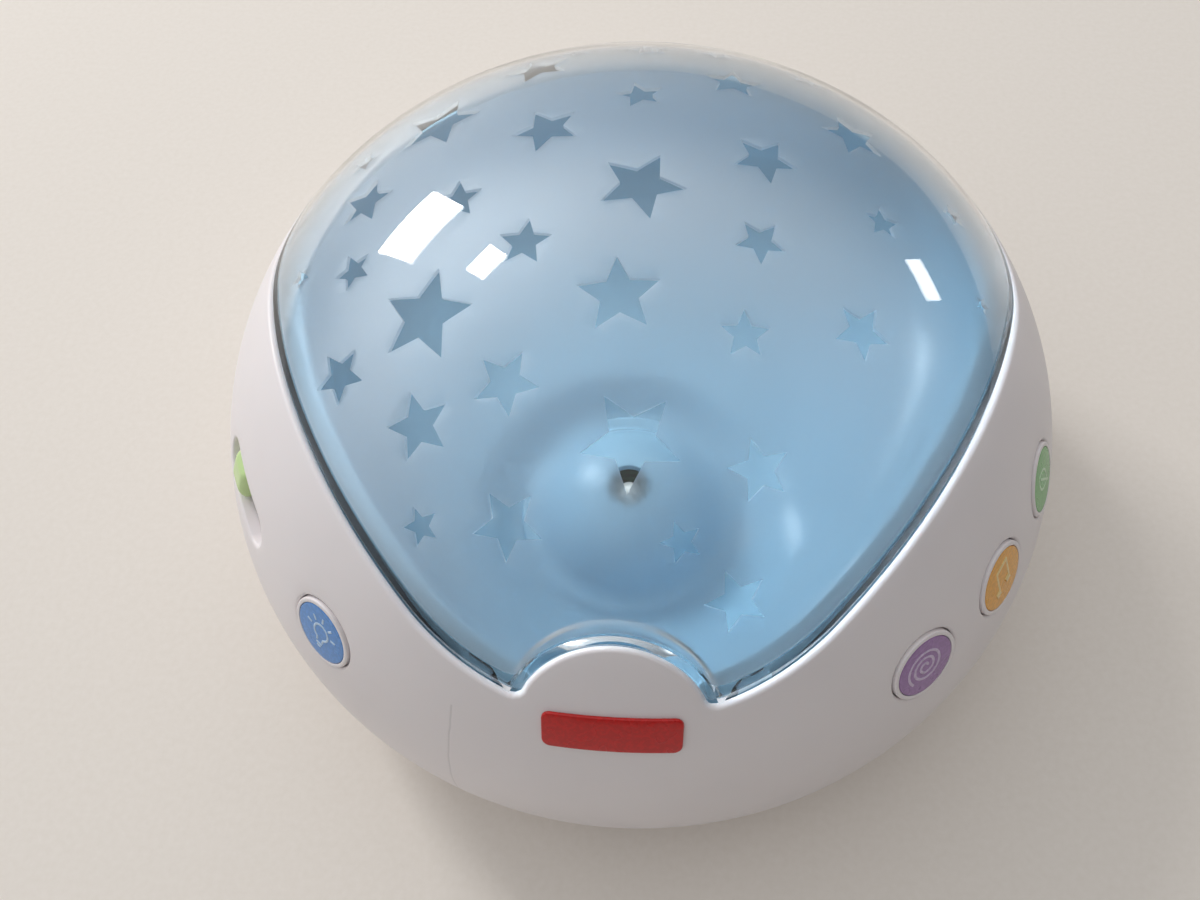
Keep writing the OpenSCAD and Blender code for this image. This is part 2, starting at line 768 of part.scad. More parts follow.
module clear_dome() {
  color(clear_plastic, dome_alpha) difference() {
    union() {
      intersection() {
        dome_layer(0, dome_edge_depth);
        window_prism(-fit_gap);
      }
      intersection() {
        dome_layer(lap_top, dome_edge_depth);
        difference() {
          window_prism(dome_lap);
          window_prism(-dome_edge);
        }
      }
    }
    tongue_cylinder(fit_gap);
    difference() {
      intersection() {
        dome_layer(dome_t, dome_edge_depth + cut_over);
        window_prism(-fit_gap - dome_edge);
      }
      tongue_cylinder(fit_gap + dome_edge);
    }
  }
}

module star_screen() {
  color(frost_blue, screen_alpha) difference() {
    union() {
      intersection() {
        dome_layer(screen_top, screen_bottom);
        window_prism(-screen_inset);
      }
      intersection() {
        dome_layer(screen_top, dome_edge_depth);
        difference() {
          window_prism(-screen_inset);
          window_prism(-screen_inset - screen_rim);
        }
      }
    }
    tongue_cylinder(screen_inset);
    for (s = stars) on_dome(s[0], star_scale * s[1]) translate([0, 0, -screen_bottom - cut_over])
      rotate(s[3]) linear_extrude(screen_t + 2 * cut_over) star(star_scale * s[2]);
  }
}

module tray_wall(grow) {
  translate([0, 0, tray_floor_low]) linear_extrude(body_h - tray_floor_low) window_outline(grow);
}

// The tray's hollow, or its outside when it is grown by the tray's thickness
module tray_hollow(inset, grow) {
  intersection() {
    tray_wall(-inset);
    union() {
      intersection() {
        translate([0, -turret_y, well_ball_z]) sphere(well_ball_r + grow);
        translate([0, 0, tray_floor_z - grow]) cylinder(r = body_r, h = body_h);
      }
      intersection() {
        translate([0, 0, dish_ball_z]) sphere(dish_r + grow);
        translate([0, 0, shelf_z - grow]) cylinder(r = body_r, h = body_h);
      }
    }
  }
}

module reflector_tray() {
  lap_inset = tray_inset + tray_t;
  ear_in = window_side - tray_inset - tray_ear_root;
  color(pale_blue) difference() {
    union() {
      intersection() {
        dome_layer(tray_top, tray_bottom);
        difference() {
          window_prism(dome_lap);
          window_prism(-lap_inset);
        }
      }
      difference() {
        intersection() {
          under_skin(tray_top + tray_t / 2);
          tray_hollow(tray_inset, tray_t);
        }
        tray_hollow(lap_inset, 0);
      }
      difference() {
        for (az = tray_post_az) facing(az) translate([ear_in, -tray_ear_w / 2, tray_ear_z])
          cube([tray_post_ring(az) + tray_ear_w / 2 - ear_in, tray_ear_w, tray_ear_top - tray_ear_z]);
        tray_wall(-tray_inset - tray_t / 2);
      }
      for (side = [-1, 1]) translate([side * lamp_post_x, -turret_y, tray_floor_low + tray_t / 2]) {
        cylinder(r = lamp_post_r, h = lamp_board_lift + tray_t / 2);
        cylinder(r = lamp_pin_r, h = lamp_board_lift + tray_t / 2 + board_t + lamp_pin_top);
      }
    }
    at_tray_posts() translate([0, 0, tray_ear_z - cut_over])
      cylinder(r = small_screw_r + fit_gap, h = tray_ear_top - tray_ear_z + 2 * cut_over);
    at_turret_bosses() translate([0, 0, tray_floor_low - cut_over])
      cylinder(r = small_screw_r + fit_gap, h = tray_t + 2 * cut_over);
  }
}

module lamp_turret() {
  color(pale_blue) difference() {
    union() {
      translate([0, -turret_y, turret_centre_z]) rotate_extrude() intersection() {
        difference() {
          circle(turret_sphere_r);
          circle(turret_sphere_r - turret_t);
        }
        translate([0, tray_floor_z - turret_centre_z]) square([turret_sphere_r, turret_h + cut_over]);
      }
      translate([0, -turret_y, tray_floor_z]) difference() {
        cylinder(r = turret_r + turret_flange, h = turret_t);
        translate([0, 0, -cut_over]) cylinder(r = turret_r - turret_t, h = turret_t + 2 * cut_over);
      }
      intersection() {
        translate([0, -turret_y, turret_centre_z]) sphere(turret_sphere_r - turret_t / 2);
        at_turret_bosses() translate([0, 0, tray_floor_z]) cylinder(r = turret_boss_r, h = turret_h);
      }
    }
    translate([0, -turret_y, tray_floor_z + turret_h / 2]) cylinder(r = lamp_hole_r, h = turret_h);
    at_turret_bosses() translate([0, 0, tray_floor_z - cut_over])
      cylinder(r = small_screw_r + screw_gap, h = screw_bite + cut_over + tip_room);
  }
}

module lamp_board() {
  color(board_green) translate([0, -turret_y, lamp_board_z]) difference() {
    cylinder(r = lamp_board_r, h = board_t);
    for (side = [-1, 1]) translate([side * lamp_post_x, 0, -cut_over])
      cylinder(r = lamp_pin_r + screw_gap, h = board_t + 2 * cut_over);
  }
}

module lamp_led() {
  color(lamp_cream) translate([0, -turret_y, lamp_board_z + board_t]) {
    cylinder(r = led_r + led_flange, h = led_flange_h);
    cylinder(r = led_r, h = led_body_h);
    translate([0, 0, led_body_h]) sphere(led_r);
  }
}

module front_badge() {
  color(badge_red) intersection() {
    wall_layer(-badge_t - screw_gap / 2, -screw_gap / 2, rim_el);
    on_skin(0, tongue_el) translate([0, 0, -tongue_reach / 2]) linear_extrude(tongue_reach)
      rounded_plate(badge_w / 2, badge_l / 2, badge_corner);
  }
}

module button_cap(i) {
  color(white_plastic) on_skin(button_az[i], button_el) {
    difference() {
      union() {
        translate([0, 0, lip_top - lip_t]) cylinder(r = cap_r, h = cap_proud - lip_top + lip_t);
        translate([0, 0, lip_top - lip_t]) cylinder(r = lip_r, h = lip_t);
      }
      translate([0, 0, cap_proud - disc_t]) cylinder(r = disc_r + screw_gap, h = disc_t + cut_over);
      translate([0, 0, lip_top - lip_t - cut_over])
        cylinder(r = cap_r - cap_t, h = cap_roof - lip_top + lip_t + cut_over);
    }
    translate([0, 0, stem_end]) cylinder(r = stem_r, h = cap_roof - stem_end + cap_t / 2);
  }
}

module button_disc(i) {
  color(button_colours[i]) on_skin(button_az[i], button_el)
    translate([0, 0, cap_proud - disc_t]) cylinder(r = disc_r, h = disc_t);
}

module button_plunger(i) {
  color(dark_grey) on_skin(button_az[i], button_el)
    translate([0, 0, stem_end - plunger_l]) cylinder(r = plunger_r, h = plunger_l);
}

module button_switch(i) {
  color(steel_grey) on_skin(button_az[i], button_el) difference() {
    translate([-switch_side / 2, -switch_side / 2, button_board_top])
      cube([switch_side, switch_side, switch_h]);
    translate([0, 0, button_board_top + switch_floor]) cylinder(r = plunger_r + screw_gap, h = switch_h);
  }
}

module button_board(i) {
  color(board_green) on_skin(button_az[i], button_el) difference() {
    translate([-button_board_up, -button_board_w / 2, button_board_top - board_t])
      cube([button_board_up + button_board_down, button_board_w, board_t]);
    at_button_posts() translate([0, 0, button_board_top - board_t - cut_over])
      cylinder(r = small_screw_r + fit_gap, h = board_t + 2 * cut_over);
  }
}

module volume_knob() {
  color(knob_green) on_skin(-slot_az, button_el) translate([0, -knob_rest, 0]) {
    translate([0, 0, knob_bottom]) linear_extrude(knob_proud - knob_bottom) intersection() {
      circle(knob_round_r);
      square([knob_w, knob_l], center = true);
    }
    translate([0, 0, (knob_stem_end + knob_bottom + knob_stem_root) / 2])
      cube([knob_stem_w, knob_stem_w, knob_bottom + knob_stem_root - knob_stem_end], center = true);
  }
}

module volume_track() {
  color(white_plastic) on_skin(-slot_az, button_el) difference() {
    translate([0, 0, track_bottom]) {
      linear_extrude(track_t) stadium(frame_half, frame_r);
      linear_extrude(track_t + track_rise) stadium(slot_half, slot_r - fit_gap);
    }
    translate([0, stem_slot_y, track_bottom + (track_t + track_rise) / 2])
      cube([stem_slot_w, stem_slot_l, track_t + track_rise + 2 * cut_over], center = true);
    at_volume_screws() translate([0, 0, track_bottom - cut_over])
      cylinder(r = small_screw_r + fit_gap, h = track_t + 2 * cut_over);
  }
}

module volume_switch() {
  color(steel_grey) on_skin(-slot_az, button_el) difference() {
    union() {
      translate([-volume_switch_w / 2, stem_slot_y - volume_switch_l / 2, track_bottom - volume_switch_h])
        cube([volume_switch_w, volume_switch_l, volume_switch_h]);
      translate([-volume_switch_w / 2, -volume_ear_l, track_bottom - volume_ear_t])
        cube([volume_switch_w, 2 * volume_ear_l, volume_ear_t]);
    }
    translate([0, stem_slot_y, track_bottom])
      cube([stem_slot_w, stem_slot_l, 2 * (track_bottom - knob_stem_end + fit_gap)], center = true);
    at_volume_screws() translate([0, 0, track_bottom - volume_ear_t - cut_over])
      cylinder(r = small_screw_r + fit_gap, h = volume_ear_t + 2 * cut_over);
  }
}

module main_board() {
  color(board_green) difference() {
    translate([-board_l / 2, bay_y - board_w / 2, board_z]) cube([board_l, board_w, board_t]);
    at_board_posts() translate([0, 0, board_z - cut_over])
      cylinder(r = small_screw_r + fit_gap, h = board_t + 2 * cut_over);
  }
}

module sound_chip() {
  color(dark_grey) translate([-chip_l / 2, bay_y - chip_w / 2, board_z + board_t])
    cube([chip_l, chip_w, chip_h]);
}

module capacitors() {
  color(sleeve_blue) for (side = [-1, 1])
    translate([side * board_l / 4, bay_y - board_w / 4, board_z + board_t])
      cylinder(r = capacitor_r, h = capacitor_h);
}

module speaker_frame() {
  color(steel_grey) translate([0, -speaker_y, 0]) rotate_extrude() polygon([
    [cone_edge_r, base_floor_z], [speaker_r, base_floor_z], [speaker_r, speaker_post_top],
    [cone_edge_r + speaker_wall, speaker_post_top], [speaker_neck_r, speaker_neck_z],
    [speaker_neck_r - speaker_neck_lap, speaker_neck_z],
    [speaker_neck_r - speaker_neck_lap, speaker_neck_z - speaker_wall],
    [speaker_neck_r - speaker_wall, speaker_neck_z - speaker_wall], [cone_edge_r, speaker_post_top]
  ]);
}

module speaker_cone() {
  color(dark_grey) translate([0, -speaker_y, 0]) rotate_extrude() polygon([
    [0, cone_top - cone_t], [cone_middle_r, cone_top - cone_t],
    [cone_edge_r - fit_gap, cone_edge_z], [cone_edge_r - fit_gap, cone_edge_z + cone_edge_t],
    [cone_middle_r, cone_top], [0, cone_top]
  ]);
}

module speaker_magnet() {
  color(dark_grey) translate([0, -speaker_y, speaker_neck_z])
    cylinder(r = magnet_r, h = base_floor_z + speaker_h - speaker_neck_z);
}

module battery_cells() {
  color(cell_gold) for (i = [0:cell_count - 1])
    translate([cell_x(i), bay_y, cell_z]) rotate([i % 2 == 0 ? 90 : -90, 0, 0]) {
      translate([0, 0, -cell_l / 2]) cylinder(r = cell_d / 2, h = cell_l - nub_h);
      translate([0, 0, -cell_l / 2]) cylinder(r = nub_r, h = cell_l);
    }
}

module battery_contacts() {
  color(nickel_grey) for (end = [-1, 1], i = [0:cell_count - 1])
    translate([cell_x(i), bay_y + end * bay_l / 2, cell_z])
      rotate([end * 90, 0, 0]) {
        translate([0, 0, contact_t / 2])
          cube([cell_pitch - contact_margin, cell_d - contact_margin, contact_t], center = true);
        cylinder(r = contact_r, h = contact_room - screw_gap);
      }
}

module battery_door() {
  color(white_plastic) difference() {
    translate([0, bay_y, base_z]) linear_extrude(door_t) door_outline(0);
    at_door_ears() {
      translate([0, 0, base_z - cut_over]) cylinder(r = small_screw_r + fit_gap, h = door_t + 2 * cut_over);
      translate([0, 0, base_z - cut_over]) cylinder(r = small_head_r + fit_gap, h = door_t / 2 + cut_over);
    }
  }
}

module arm_socket() {
  color(steel_grey) translate([0, socket_back_y, socket_z]) rotate([-90, 0, 0]) difference() {
    cylinder(r = socket_r, h = socket_end_y - socket_back_y);
    translate([0, 0, socket_t]) cylinder(r = socket_bore_r, h = socket_depth + cut_over);
  }
}

module rubber_feet() {
  color(rubber_grey) for (az = foot_az) facing(az) translate([foot_ring, 0, 0])
    cylinder(r = foot_r, h = base_z + foot_recess);
}

module housing_screws() {
  color(steel_grey) at_bosses() translate([0, 0, screw_seat_z]) mirror([0, 0, 1])
    screw(screw_r, head_r, head_h, housing_screw_l);
}

module tray_screws() {
  color(steel_grey) at_tray_posts() translate([0, 0, tray_ear_z]) mirror([0, 0, 1])
    screw(small_screw_r, small_head_r, small_head_h, tray_screw_l);
}

module turret_screws() {
  color(steel_grey) at_turret_bosses() translate([0, 0, tray_floor_low]) mirror([0, 0, 1])
    screw(small_screw_r, small_head_r, small_head_h, turret_screw_l);
}

module board_screws() {
  color(steel_grey) at_board_posts() translate([0, 0, board_z + board_t])
    screw(small_screw_r, small_head_r, small_head_h, board_screw_l);
}

module button_screws() {
  color(steel_grey) for (az = button_az) on_skin(az, button_el) at_button_posts()
    translate([0, 0, button_board_top - board_t]) mirror([0, 0, 1])
      screw(small_screw_r, small_head_r, small_head_h, button_screw_l);
}

module volume_screws() {
  color(steel_grey) on_skin(-slot_az, button_el) at_volume_screws()
    translate([0, 0, track_bottom - volume_ear_t]) mirror([0, 0, 1])
      screw(small_screw_r, small_head_r, small_head_h, volume_screw_l);
}

module speaker_screws() {
  color(steel_grey) at_speaker_posts() translate([0, 0, speaker_post_top])
    screw(small_screw_r, speaker_head_r, small_head_h, speaker_screw_l);
}

module door_screws() {
  color(steel_grey) at_door_ears() translate([0, 0, base_z + door_t / 2]) mirror([0, 0, 1])
    screw(small_screw_r, small_head_r, door_t / 2, door_screw_l);
}

upper_housing();
base_tray();
clear_dome();
star_screen();
reflector_tray();
lamp_turret();
lamp_board();
lamp_led();
front_badge();
for (i = [0:len(button_names) - 1]) {
  button_cap(i);
  button_disc(i);
  button_plunger(i);
  button_switch(i);
  button_board(i);
}
volume_knob();
volume_track();
volume_switch();
main_board();
sound_chip();
capacitors();
speaker_frame();
speaker_cone();
speaker_magnet();
battery_cells();
battery_contacts();
battery_door();
arm_socket();
rubber_feet();
housing_screws();
tray_screws();
turret_screws();
board_screws();
button_screws();
volume_screws();
speaker_screws();
door_screws();
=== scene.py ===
import json
import math

import bmesh
import bpy
import numpy as np
from mathutils import Matrix, Vector
from mathutils.geometry import delaunay_2d_cdt
from mathutils.kdtree import KDTree


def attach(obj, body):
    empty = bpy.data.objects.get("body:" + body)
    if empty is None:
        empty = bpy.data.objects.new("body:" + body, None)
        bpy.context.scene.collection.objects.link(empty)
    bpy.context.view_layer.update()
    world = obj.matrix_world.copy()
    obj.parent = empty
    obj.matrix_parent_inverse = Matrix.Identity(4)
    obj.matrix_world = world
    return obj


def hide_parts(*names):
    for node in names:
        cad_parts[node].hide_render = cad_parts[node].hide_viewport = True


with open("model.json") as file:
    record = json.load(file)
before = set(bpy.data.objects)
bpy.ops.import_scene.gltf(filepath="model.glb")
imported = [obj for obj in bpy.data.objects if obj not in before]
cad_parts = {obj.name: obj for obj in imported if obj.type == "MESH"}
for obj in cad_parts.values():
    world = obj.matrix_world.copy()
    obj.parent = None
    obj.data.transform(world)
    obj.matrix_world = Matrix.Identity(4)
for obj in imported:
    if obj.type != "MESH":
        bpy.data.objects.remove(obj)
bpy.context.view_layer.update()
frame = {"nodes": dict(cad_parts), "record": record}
nodes = frame["nodes"]
scene = bpy.context.scene
scene.view_settings.view_transform = "Standard"

MM = 0.001
UP = np.array((0.0, 0.0, 1.0))
FULL = 2 * math.pi
THIRD = FULL / 3

# Body curves in millimetres: the wall turns about a ring, the crown about a point on the axis
BODY_R, BODY_H, PARTING_Z, WALL_R = 95.0, 110.0, 35.0, 68.0
WALL_CX = BODY_R - WALL_R
RISE = BODY_H - PARTING_Z
CROWN_R = (WALL_CX**2 + RISE**2 - WALL_R**2) / (2 * (RISE - WALL_R))
CROWN_Z = BODY_H - CROWN_R
MEET = math.atan2(PARTING_Z - CROWN_Z, WALL_CX)
CROWN_WAY = CROWN_R * (math.pi / 2 - MEET)
MEET_R = CROWN_R * math.cos(MEET)
WALL, GAP = 2.5, 0.3

# Dome window: three side arcs joined by three corner arcs, with a round tongue at the front
WINDOW_SIDE, WINDOW_CORNER, SIDE_R = 70.0, 81.5, 160.0
SIDE_GAP = SIDE_R - WINDOW_SIDE
CORNER_GAP = SIDE_R - WINDOW_CORNER
CORNER_C = (CORNER_GAP**2 - SIDE_GAP**2) / (SIDE_GAP - 2 * CORNER_GAP)
CORNER_R = WINDOW_CORNER - CORNER_C
CORNER_HALF = math.atan2(SIDE_GAP * math.sin(math.pi / 3), CORNER_C + SIDE_GAP / 2)
TONGUE_R, TONGUE_RISE, TONGUE_SWEEP, TONGUE_NEAR = 17.3, 0.4933, 130, 0.4
TONGUE_EL = math.degrees(math.asin(TONGUE_RISE * RISE / WALL_R))
# Height from which an outline is dropped on to the skin, and how often it settles
START_Z, SETTLE_ROUNDS = PARTING_Z + WALL_R * 0.7, 12
DOME_T, DOME_EDGE, DOME_EDGE_DEPTH, DOME_LAP = 0.8, 1.6, 5.0, 2.2
SCREEN_TOP, SCREEN_LOW, SCREEN_IN = 1.0, 1.7, 2.2
RIM_ROUND, HOLE_ROUND, DOME_ROUND, STAR_ROUND, FOOT_ROUND = 0.9, 0.6, 0.5, 0.1, 0.35

# Mesh steps in millimetres along edges, over faces that show and over undersides
RIM_STEP, RIM_FINE, RIM_ROUNDS, SLOT_STEP, COLLAR_STEP = 0.7, 0.35, 5, 0.7, 0.8
SKIN_STEP, SCREEN_STEP, BADGE_STEP = 1.9, 2.4, 1.0
HOUSING_UNDER, EDGE_UNDER, DOME_UNDER, SCREEN_UNDER, BADGE_UNDER = 4.0, 2.0, 2.5, 3.0, 2.0
FOOT_COUNT = 760
# Edges sharper than this many degrees stay crisp
CREASE, INK_CREASE = 38.0, 60.0

# Stars: direction from the front, distance from the axis, radius, turn
STARS = (
    (-89, 67.5, 2.75, 15), (-85, 54.5, 4.5, 3), (-103.5, 56.5, 6.5, -14), (-101.5, 35, 5.25, -3),
    (-75.5, 20.5, 5.25, 35), (-128.5, 54.5, 9.5, 7), (-143, 31, 7.25, -11), (-155.5, 57, 7.75, -2),
    (-165.5, 63, 3.25, 5), (-179, 36, 5.25, 15), (180, 61, 5, 15), (174.5, 8, 8.5, -17),
    (-7, 16.5, 7.75, -23), (-64, 41.5, 9.5, 17), (157.5, 48, 6.5, 20), (127.5, 54, 7.25, 1),
    (127, 30, 6.75, 25), (82.5, 23, 5, -9), (100, 47.5, 4, 10), (106.5, 66.5, 3.25, 25),
    (88, 67.5, 2, 0), (42.5, 30, 4.75, -3), (67, 45, 5.75, 12), (147.5, 66, 4, 10),
    (-63.5, 60, 5.75, -7), (-33, 38.5, 6.25, -30), (-43.5, 53, 6.5, 24), (2, 42, 9, -4),
    (27.5, 50.5, 5.75, 28), (-32.5, 65, 3.75, 17), (-19, 58.5, 6.5, 16), (10.5, 58, 3.75, -23),
    (17.5, 68, 5.75, -26), (166, 63, 3.75, -30), (-115.5, 65.5, 3.5, -5),
)
STAR_VALLEY = 0.46

# Buttons and volume slide, measured from the skin along its outward normal
CONTROL_RISE = 0.4
CONTROL_EL = math.degrees(math.asin(CONTROL_RISE * RISE / WALL_R))
BUTTONS = {
    "light": (-40.5, "disc_blue"),
    "swirl": (40.5, "disc_purple"),
    "music": (56.25, "disc_orange"),
    "nature": (72.0, "disc_green"),
}
CAP_R, CAP_PROUD, CAP_T, CAP_ROUND = 7.65, 0.0, 1.3, 0.6
DISC_T, DISC_R, DISC_GAP, DISC_ROUND = 0.6, 6.65, 0.12, 0.25
HOLE_R, COLLAR_T, COLLAR_DEPTH = CAP_R + GAP, 2.4, 5.0
LIP_TOP, LIP_T, LIP_R = -5.3, 1.2, 9.55
STEM_R, STEM_END = 2.2, -8.0
SLOT_AZ, SLOT_R, SLOT_HALF = -64.4, 4.75, 7.75
KNOB_REST, KNOB_W, KNOB_L, KNOB_PROUD, KNOB_LOW, KNOB_ROUND = 4.5, 8.6, 8.0, 0.2, -2.7, 2.2
KNOB_WIDEST, KNOB_STEM_LOW, KNOB_STEM_TOP = KNOB_W * 0.62, -9.2, KNOB_LOW + 0.5
STEM_SQUARE = np.array([(-1.1, -1.1, 0), (1.1, -1.1, 0), (1.1, 1.1, 0), (-1.1, 1.1, 0)])
BADGE_L, BADGE_W, BADGE_CORNER, BADGE_TOP, BADGE_LOW, BADGE_ROUND = 25.0, 8.0, 1.6, 0.6, 0.1, 0.32

# Tray and lamp pod: heights from the ground, a round well and a dished shelf
TRAY_FLOOR, TRAY_IN, TRAY_T, TRAY_FILLET, TRAY_EDGE, TRAY_DEPTH = 40.0, 6.0, 2.0, 9.0, 3.0, 5.3
TURRET_Y, TURRET_R, TURRET_H, TURRET_T, TURRET_FLANGE, LAMP_HOLE_R = 28.0, 21.4, 16.0, 1.8, 3.0, 4.5
WELL_R, WELL_SLOPE, SHELF_LIFT, SHELF_R, DISH_R = 26.0, 32.0, 5.8, 36.0, 200.0
SKIRT_LIFT, SKIRT_ROUND, FLANGE_ROUND, LIP_ROUND = 3.2, 2.2, 0.8, 0.5
# Blend of the well into its floor and shelf, and of the bowl's seams, in metres
EASE, WELD = 0.0012, 0.00002

# Knit line in the white shell: its direction from the front, and its top in metres
KNIT_AZ, KNIT_TOP = -20.0, 0.070


def srgb(red, green, blue):
    """Linear colour of an eight-bit display colour."""
    return tuple(((c / 255 + 0.055) / 1.055) ** 2.4 if c > 10 else c / 3295 for c in (red, green, blue))


def adds(operation):
    """A method that adds one Math node."""
    return lambda wire, *terms: wire.math(operation, wire, *terms)


class Wire:
    """An output socket of a node tree. Arithmetic on it adds Math nodes."""

    __add__ = __radd__ = adds("ADD")
    __mul__ = __rmul__ = adds("MULTIPLY")
    __sub__, __pow__, __mod__ = adds("SUBTRACT"), adds("POWER"), adds("FLOORED_MODULO")
    __lt__, __abs__ = adds("LESS_THAN"), adds("ABSOLUTE")
    sin, cos = adds("SINE"), adds("COSINE")
    # The lesser and the greater of two values, with an eased change-over
    least, most = adds("SMOOTH_MIN"), adds("SMOOTH_MAX")

    def __init__(self, graph, socket):
        self.graph, self.socket = graph, socket

    def math(self, operation, *terms):
        return self.graph.node("ShaderNodeMath", {"operation": operation}, dict(enumerate(terms)))

    def __rsub__(self, other):
        return self.math("SUBTRACT", other, self)

    def ramp(self, low, high):
        """0 at low, 1 at high, smooth between."""
        return self.graph.node(
            "ShaderNodeMapRange", {"interpolation_type": "SMOOTHSTEP"}, {0: self, 1: low, 2: high}
        )


class Graph:
    """Adds nodes to a tree by type, settings and sockets."""

    def __init__(self, tree):
        self.tree = tree

    def node(self, kind, settings=None, sockets=None, out=0):
        made = self.tree.nodes.new(kind)
        for key, value in (settings or {}).items():
            setattr(made, key, value)
        for key, value in (sockets or {}).items():
            if isinstance(value, (list, tuple)) and value and isinstance(value[0], Wire):
                for wire in value:
                    self.tree.links.new(wire.socket, made.inputs[key])
            elif isinstance(value, Wire):
                self.tree.links.new(value.socket, made.inputs[key])
            else:
                made.inputs[key].default_value = value
        return Wire(self, made.outputs[out]) if made.outputs else None

    def apart(self, vector):
        """The three values of a vector."""
        values = self.node("ShaderNodeSeparateXYZ", None, {0: vector}).socket.node.outputs
        return [Wire(self, value) for value in values]

    def noise(self, at, scale, detail=2.0, stretch=None):
        """Noise whose scale is in features a metre."""
        if stretch:
            at = self.node("ShaderNodeMapping", None, {"Vector": at, "Scale": stretch})
        return self.node("ShaderNodeTexNoise", None, {"Vector": at, "Scale": scale, "Detail": detail})

    def blend(self, share, low, high):
        """A colour between two colours."""
        colours = {0: share, 6: low if isinstance(low, Wire) else (*low, 1)}
        colours[7] = high if isinstance(high, Wire) else (*high, 1)
        return self.node("ShaderNodeMix", {"data_type": "RGBA"}, colours, out=2)

    def bump(self, height, strength, reach, under=None):
        sockets = {"Height": height, "Strength": strength, "Distance": reach}
        if under:
            sockets["Normal"] = under
        return self.node("ShaderNodeBump", None, sockets)

    def surface(self, **sockets):
        """Principled shader; socket names are given in lower case with underscores."""
        made = self.tree.nodes.new("ShaderNodeBsdfPrincipled")
        names = {socket.name.lower().replace(" ", "_"): socket.name for socket in made.inputs}
        for key, value in sockets.items():
            if isinstance(value, Wire):
                self.tree.links.new(value.socket, made.inputs[names[key]])
            elif isinstance(value, tuple) and len(value) == 3 and key.endswith("color"):
                made.inputs[names[key]].default_value = (*value, 1)
            else:
                made.inputs[names[key]].default_value = value
        return Wire(self, made.outputs[0])


def finish(name, build, *facts):
    """A material named for its finish. build(graph, place, *facts) gives its shader."""
    material = bpy.data.materials.new(name)
    material.use_nodes = True
    tree = material.node_tree
    tree.nodes.clear()
    graph = Graph(tree)
    place = graph.node("ShaderNodeTexCoord", out="Object")
    shader = build(graph, place, *facts)
    graph.node("ShaderNodeOutputMaterial", None, {"Surface": shader})
    return material


def shade(colour, factor):
    return tuple(c * factor for c in colour)


def moulded(graph, place, colour, roughness, grain=0.05):
    """Injection-moulded plastic: faint flow clouds, a fine tool texture and rubbed patches."""
    cloud = graph.noise(place, 45.0, 3.0).ramp(0.3, 0.7)
    speck = graph.noise(place, 900.0, 2.0)
    rub = graph.noise(place, 120.0, 4.0, (1.0, 1.0, 0.25)).ramp(0.45, 0.75)
    pores = graph.noise(place, 2600.0, 2.0)
    base = graph.blend(cloud, shade(colour, 0.95), colour)
    base = graph.blend(speck.ramp(0.6, 0.8) * 0.15, base, shade(colour, 0.9))
    normal = graph.bump(pores, grain, 0.00012)
    return graph.surface(base_color=base, roughness=rub * 0.1 + roughness, normal=normal, ior=1.5)


def housing_white(graph, place, colour):
    """White shell plastic with a faint knit line where the melt met, and painted shade in blotches that
    darkens it towards the bottom by the parting line.
    """
    x, y, z = graph.apart(place)
    cloud = graph.noise(place, 30.0, 3.0).ramp(0.3, 0.7)
    rub = graph.noise(place, 110.0, 4.0, (1.0, 1.0, 0.3)).ramp(0.45, 0.75)
    pores = graph.noise(place, 2400.0, 2.0)
    waver = (graph.noise(place, 90.0, 2.0) - 0.5) * 0.0012
    turn = math.radians(KNIT_AZ)
    knit = abs(x * math.cos(turn) + y * math.sin(turn) + waver)
    line = (1 - knit.ramp(0.00008, 0.00028)) * (y < 0) * (z < KNIT_TOP)
    # Painted shade: the colour darkens in blotches from 46 mm down to the parting line, and fully on all
    # white plastic below it
    blotches = (1 - z.ramp(0.034, 0.046)) * graph.noise(place, 260.0, 4.0).ramp(0.35, 0.75)
    base = graph.blend(cloud, shade(colour, 0.965), colour)
    base = graph.blend(blotches * 0.25, base, shade(colour, 0.78))
    base = graph.blend(line * 0.35, base, shade(colour, 0.6))
    normal = graph.bump(pores, 0.05, 0.0001)
    normal = graph.bump(1 - line, 0.3, 0.0001, normal)
    return graph.surface(
        base_color=base,
        roughness=rub * 0.1 + 0.4,
        normal=normal,
        ior=1.5,
        subsurface_weight=0.12,
        subsurface_radius=(0.0022, 0.0016, 0.0013),
    )


def lets_lamps_in(graph, glass, tint):
    """Clear plastic that passes lamp light straight on to what lies under it."""
    lamp = graph.node("ShaderNodeLightPath", out="Is Shadow Ray")
    through = graph.node("ShaderNodeBsdfTransparent", None, {"Color": (*tint, 1)})
    return graph.node("ShaderNodeMixShader", None, {0: lamp, 1: glass, 2: through})


def clear_polish(graph, place):
    """Polished clear plastic with fine wiping marks and a few greasy patches."""
    smear = graph.noise(place, 60.0, 4.0, (1.0, 0.35, 1.0)).ramp(0.5, 0.8)
    wipe = graph.noise(place, 900.0, 2.0, (0.15, 1.0, 1.0))
    normal = graph.bump(graph.noise(place, 26.0, 1.0), 0.04, 0.002)
    normal = graph.bump(wipe, 0.012, 0.0001, normal)
    glass = graph.surface(
        base_color=(0.975, 0.985, 0.99),
        roughness=smear * 0.012 + 0.004,
        transmission_weight=1.0,
        ior=1.46,
        normal=normal,
    )
    return lets_lamps_in(graph, glass, (0.96, 0.975, 0.985))


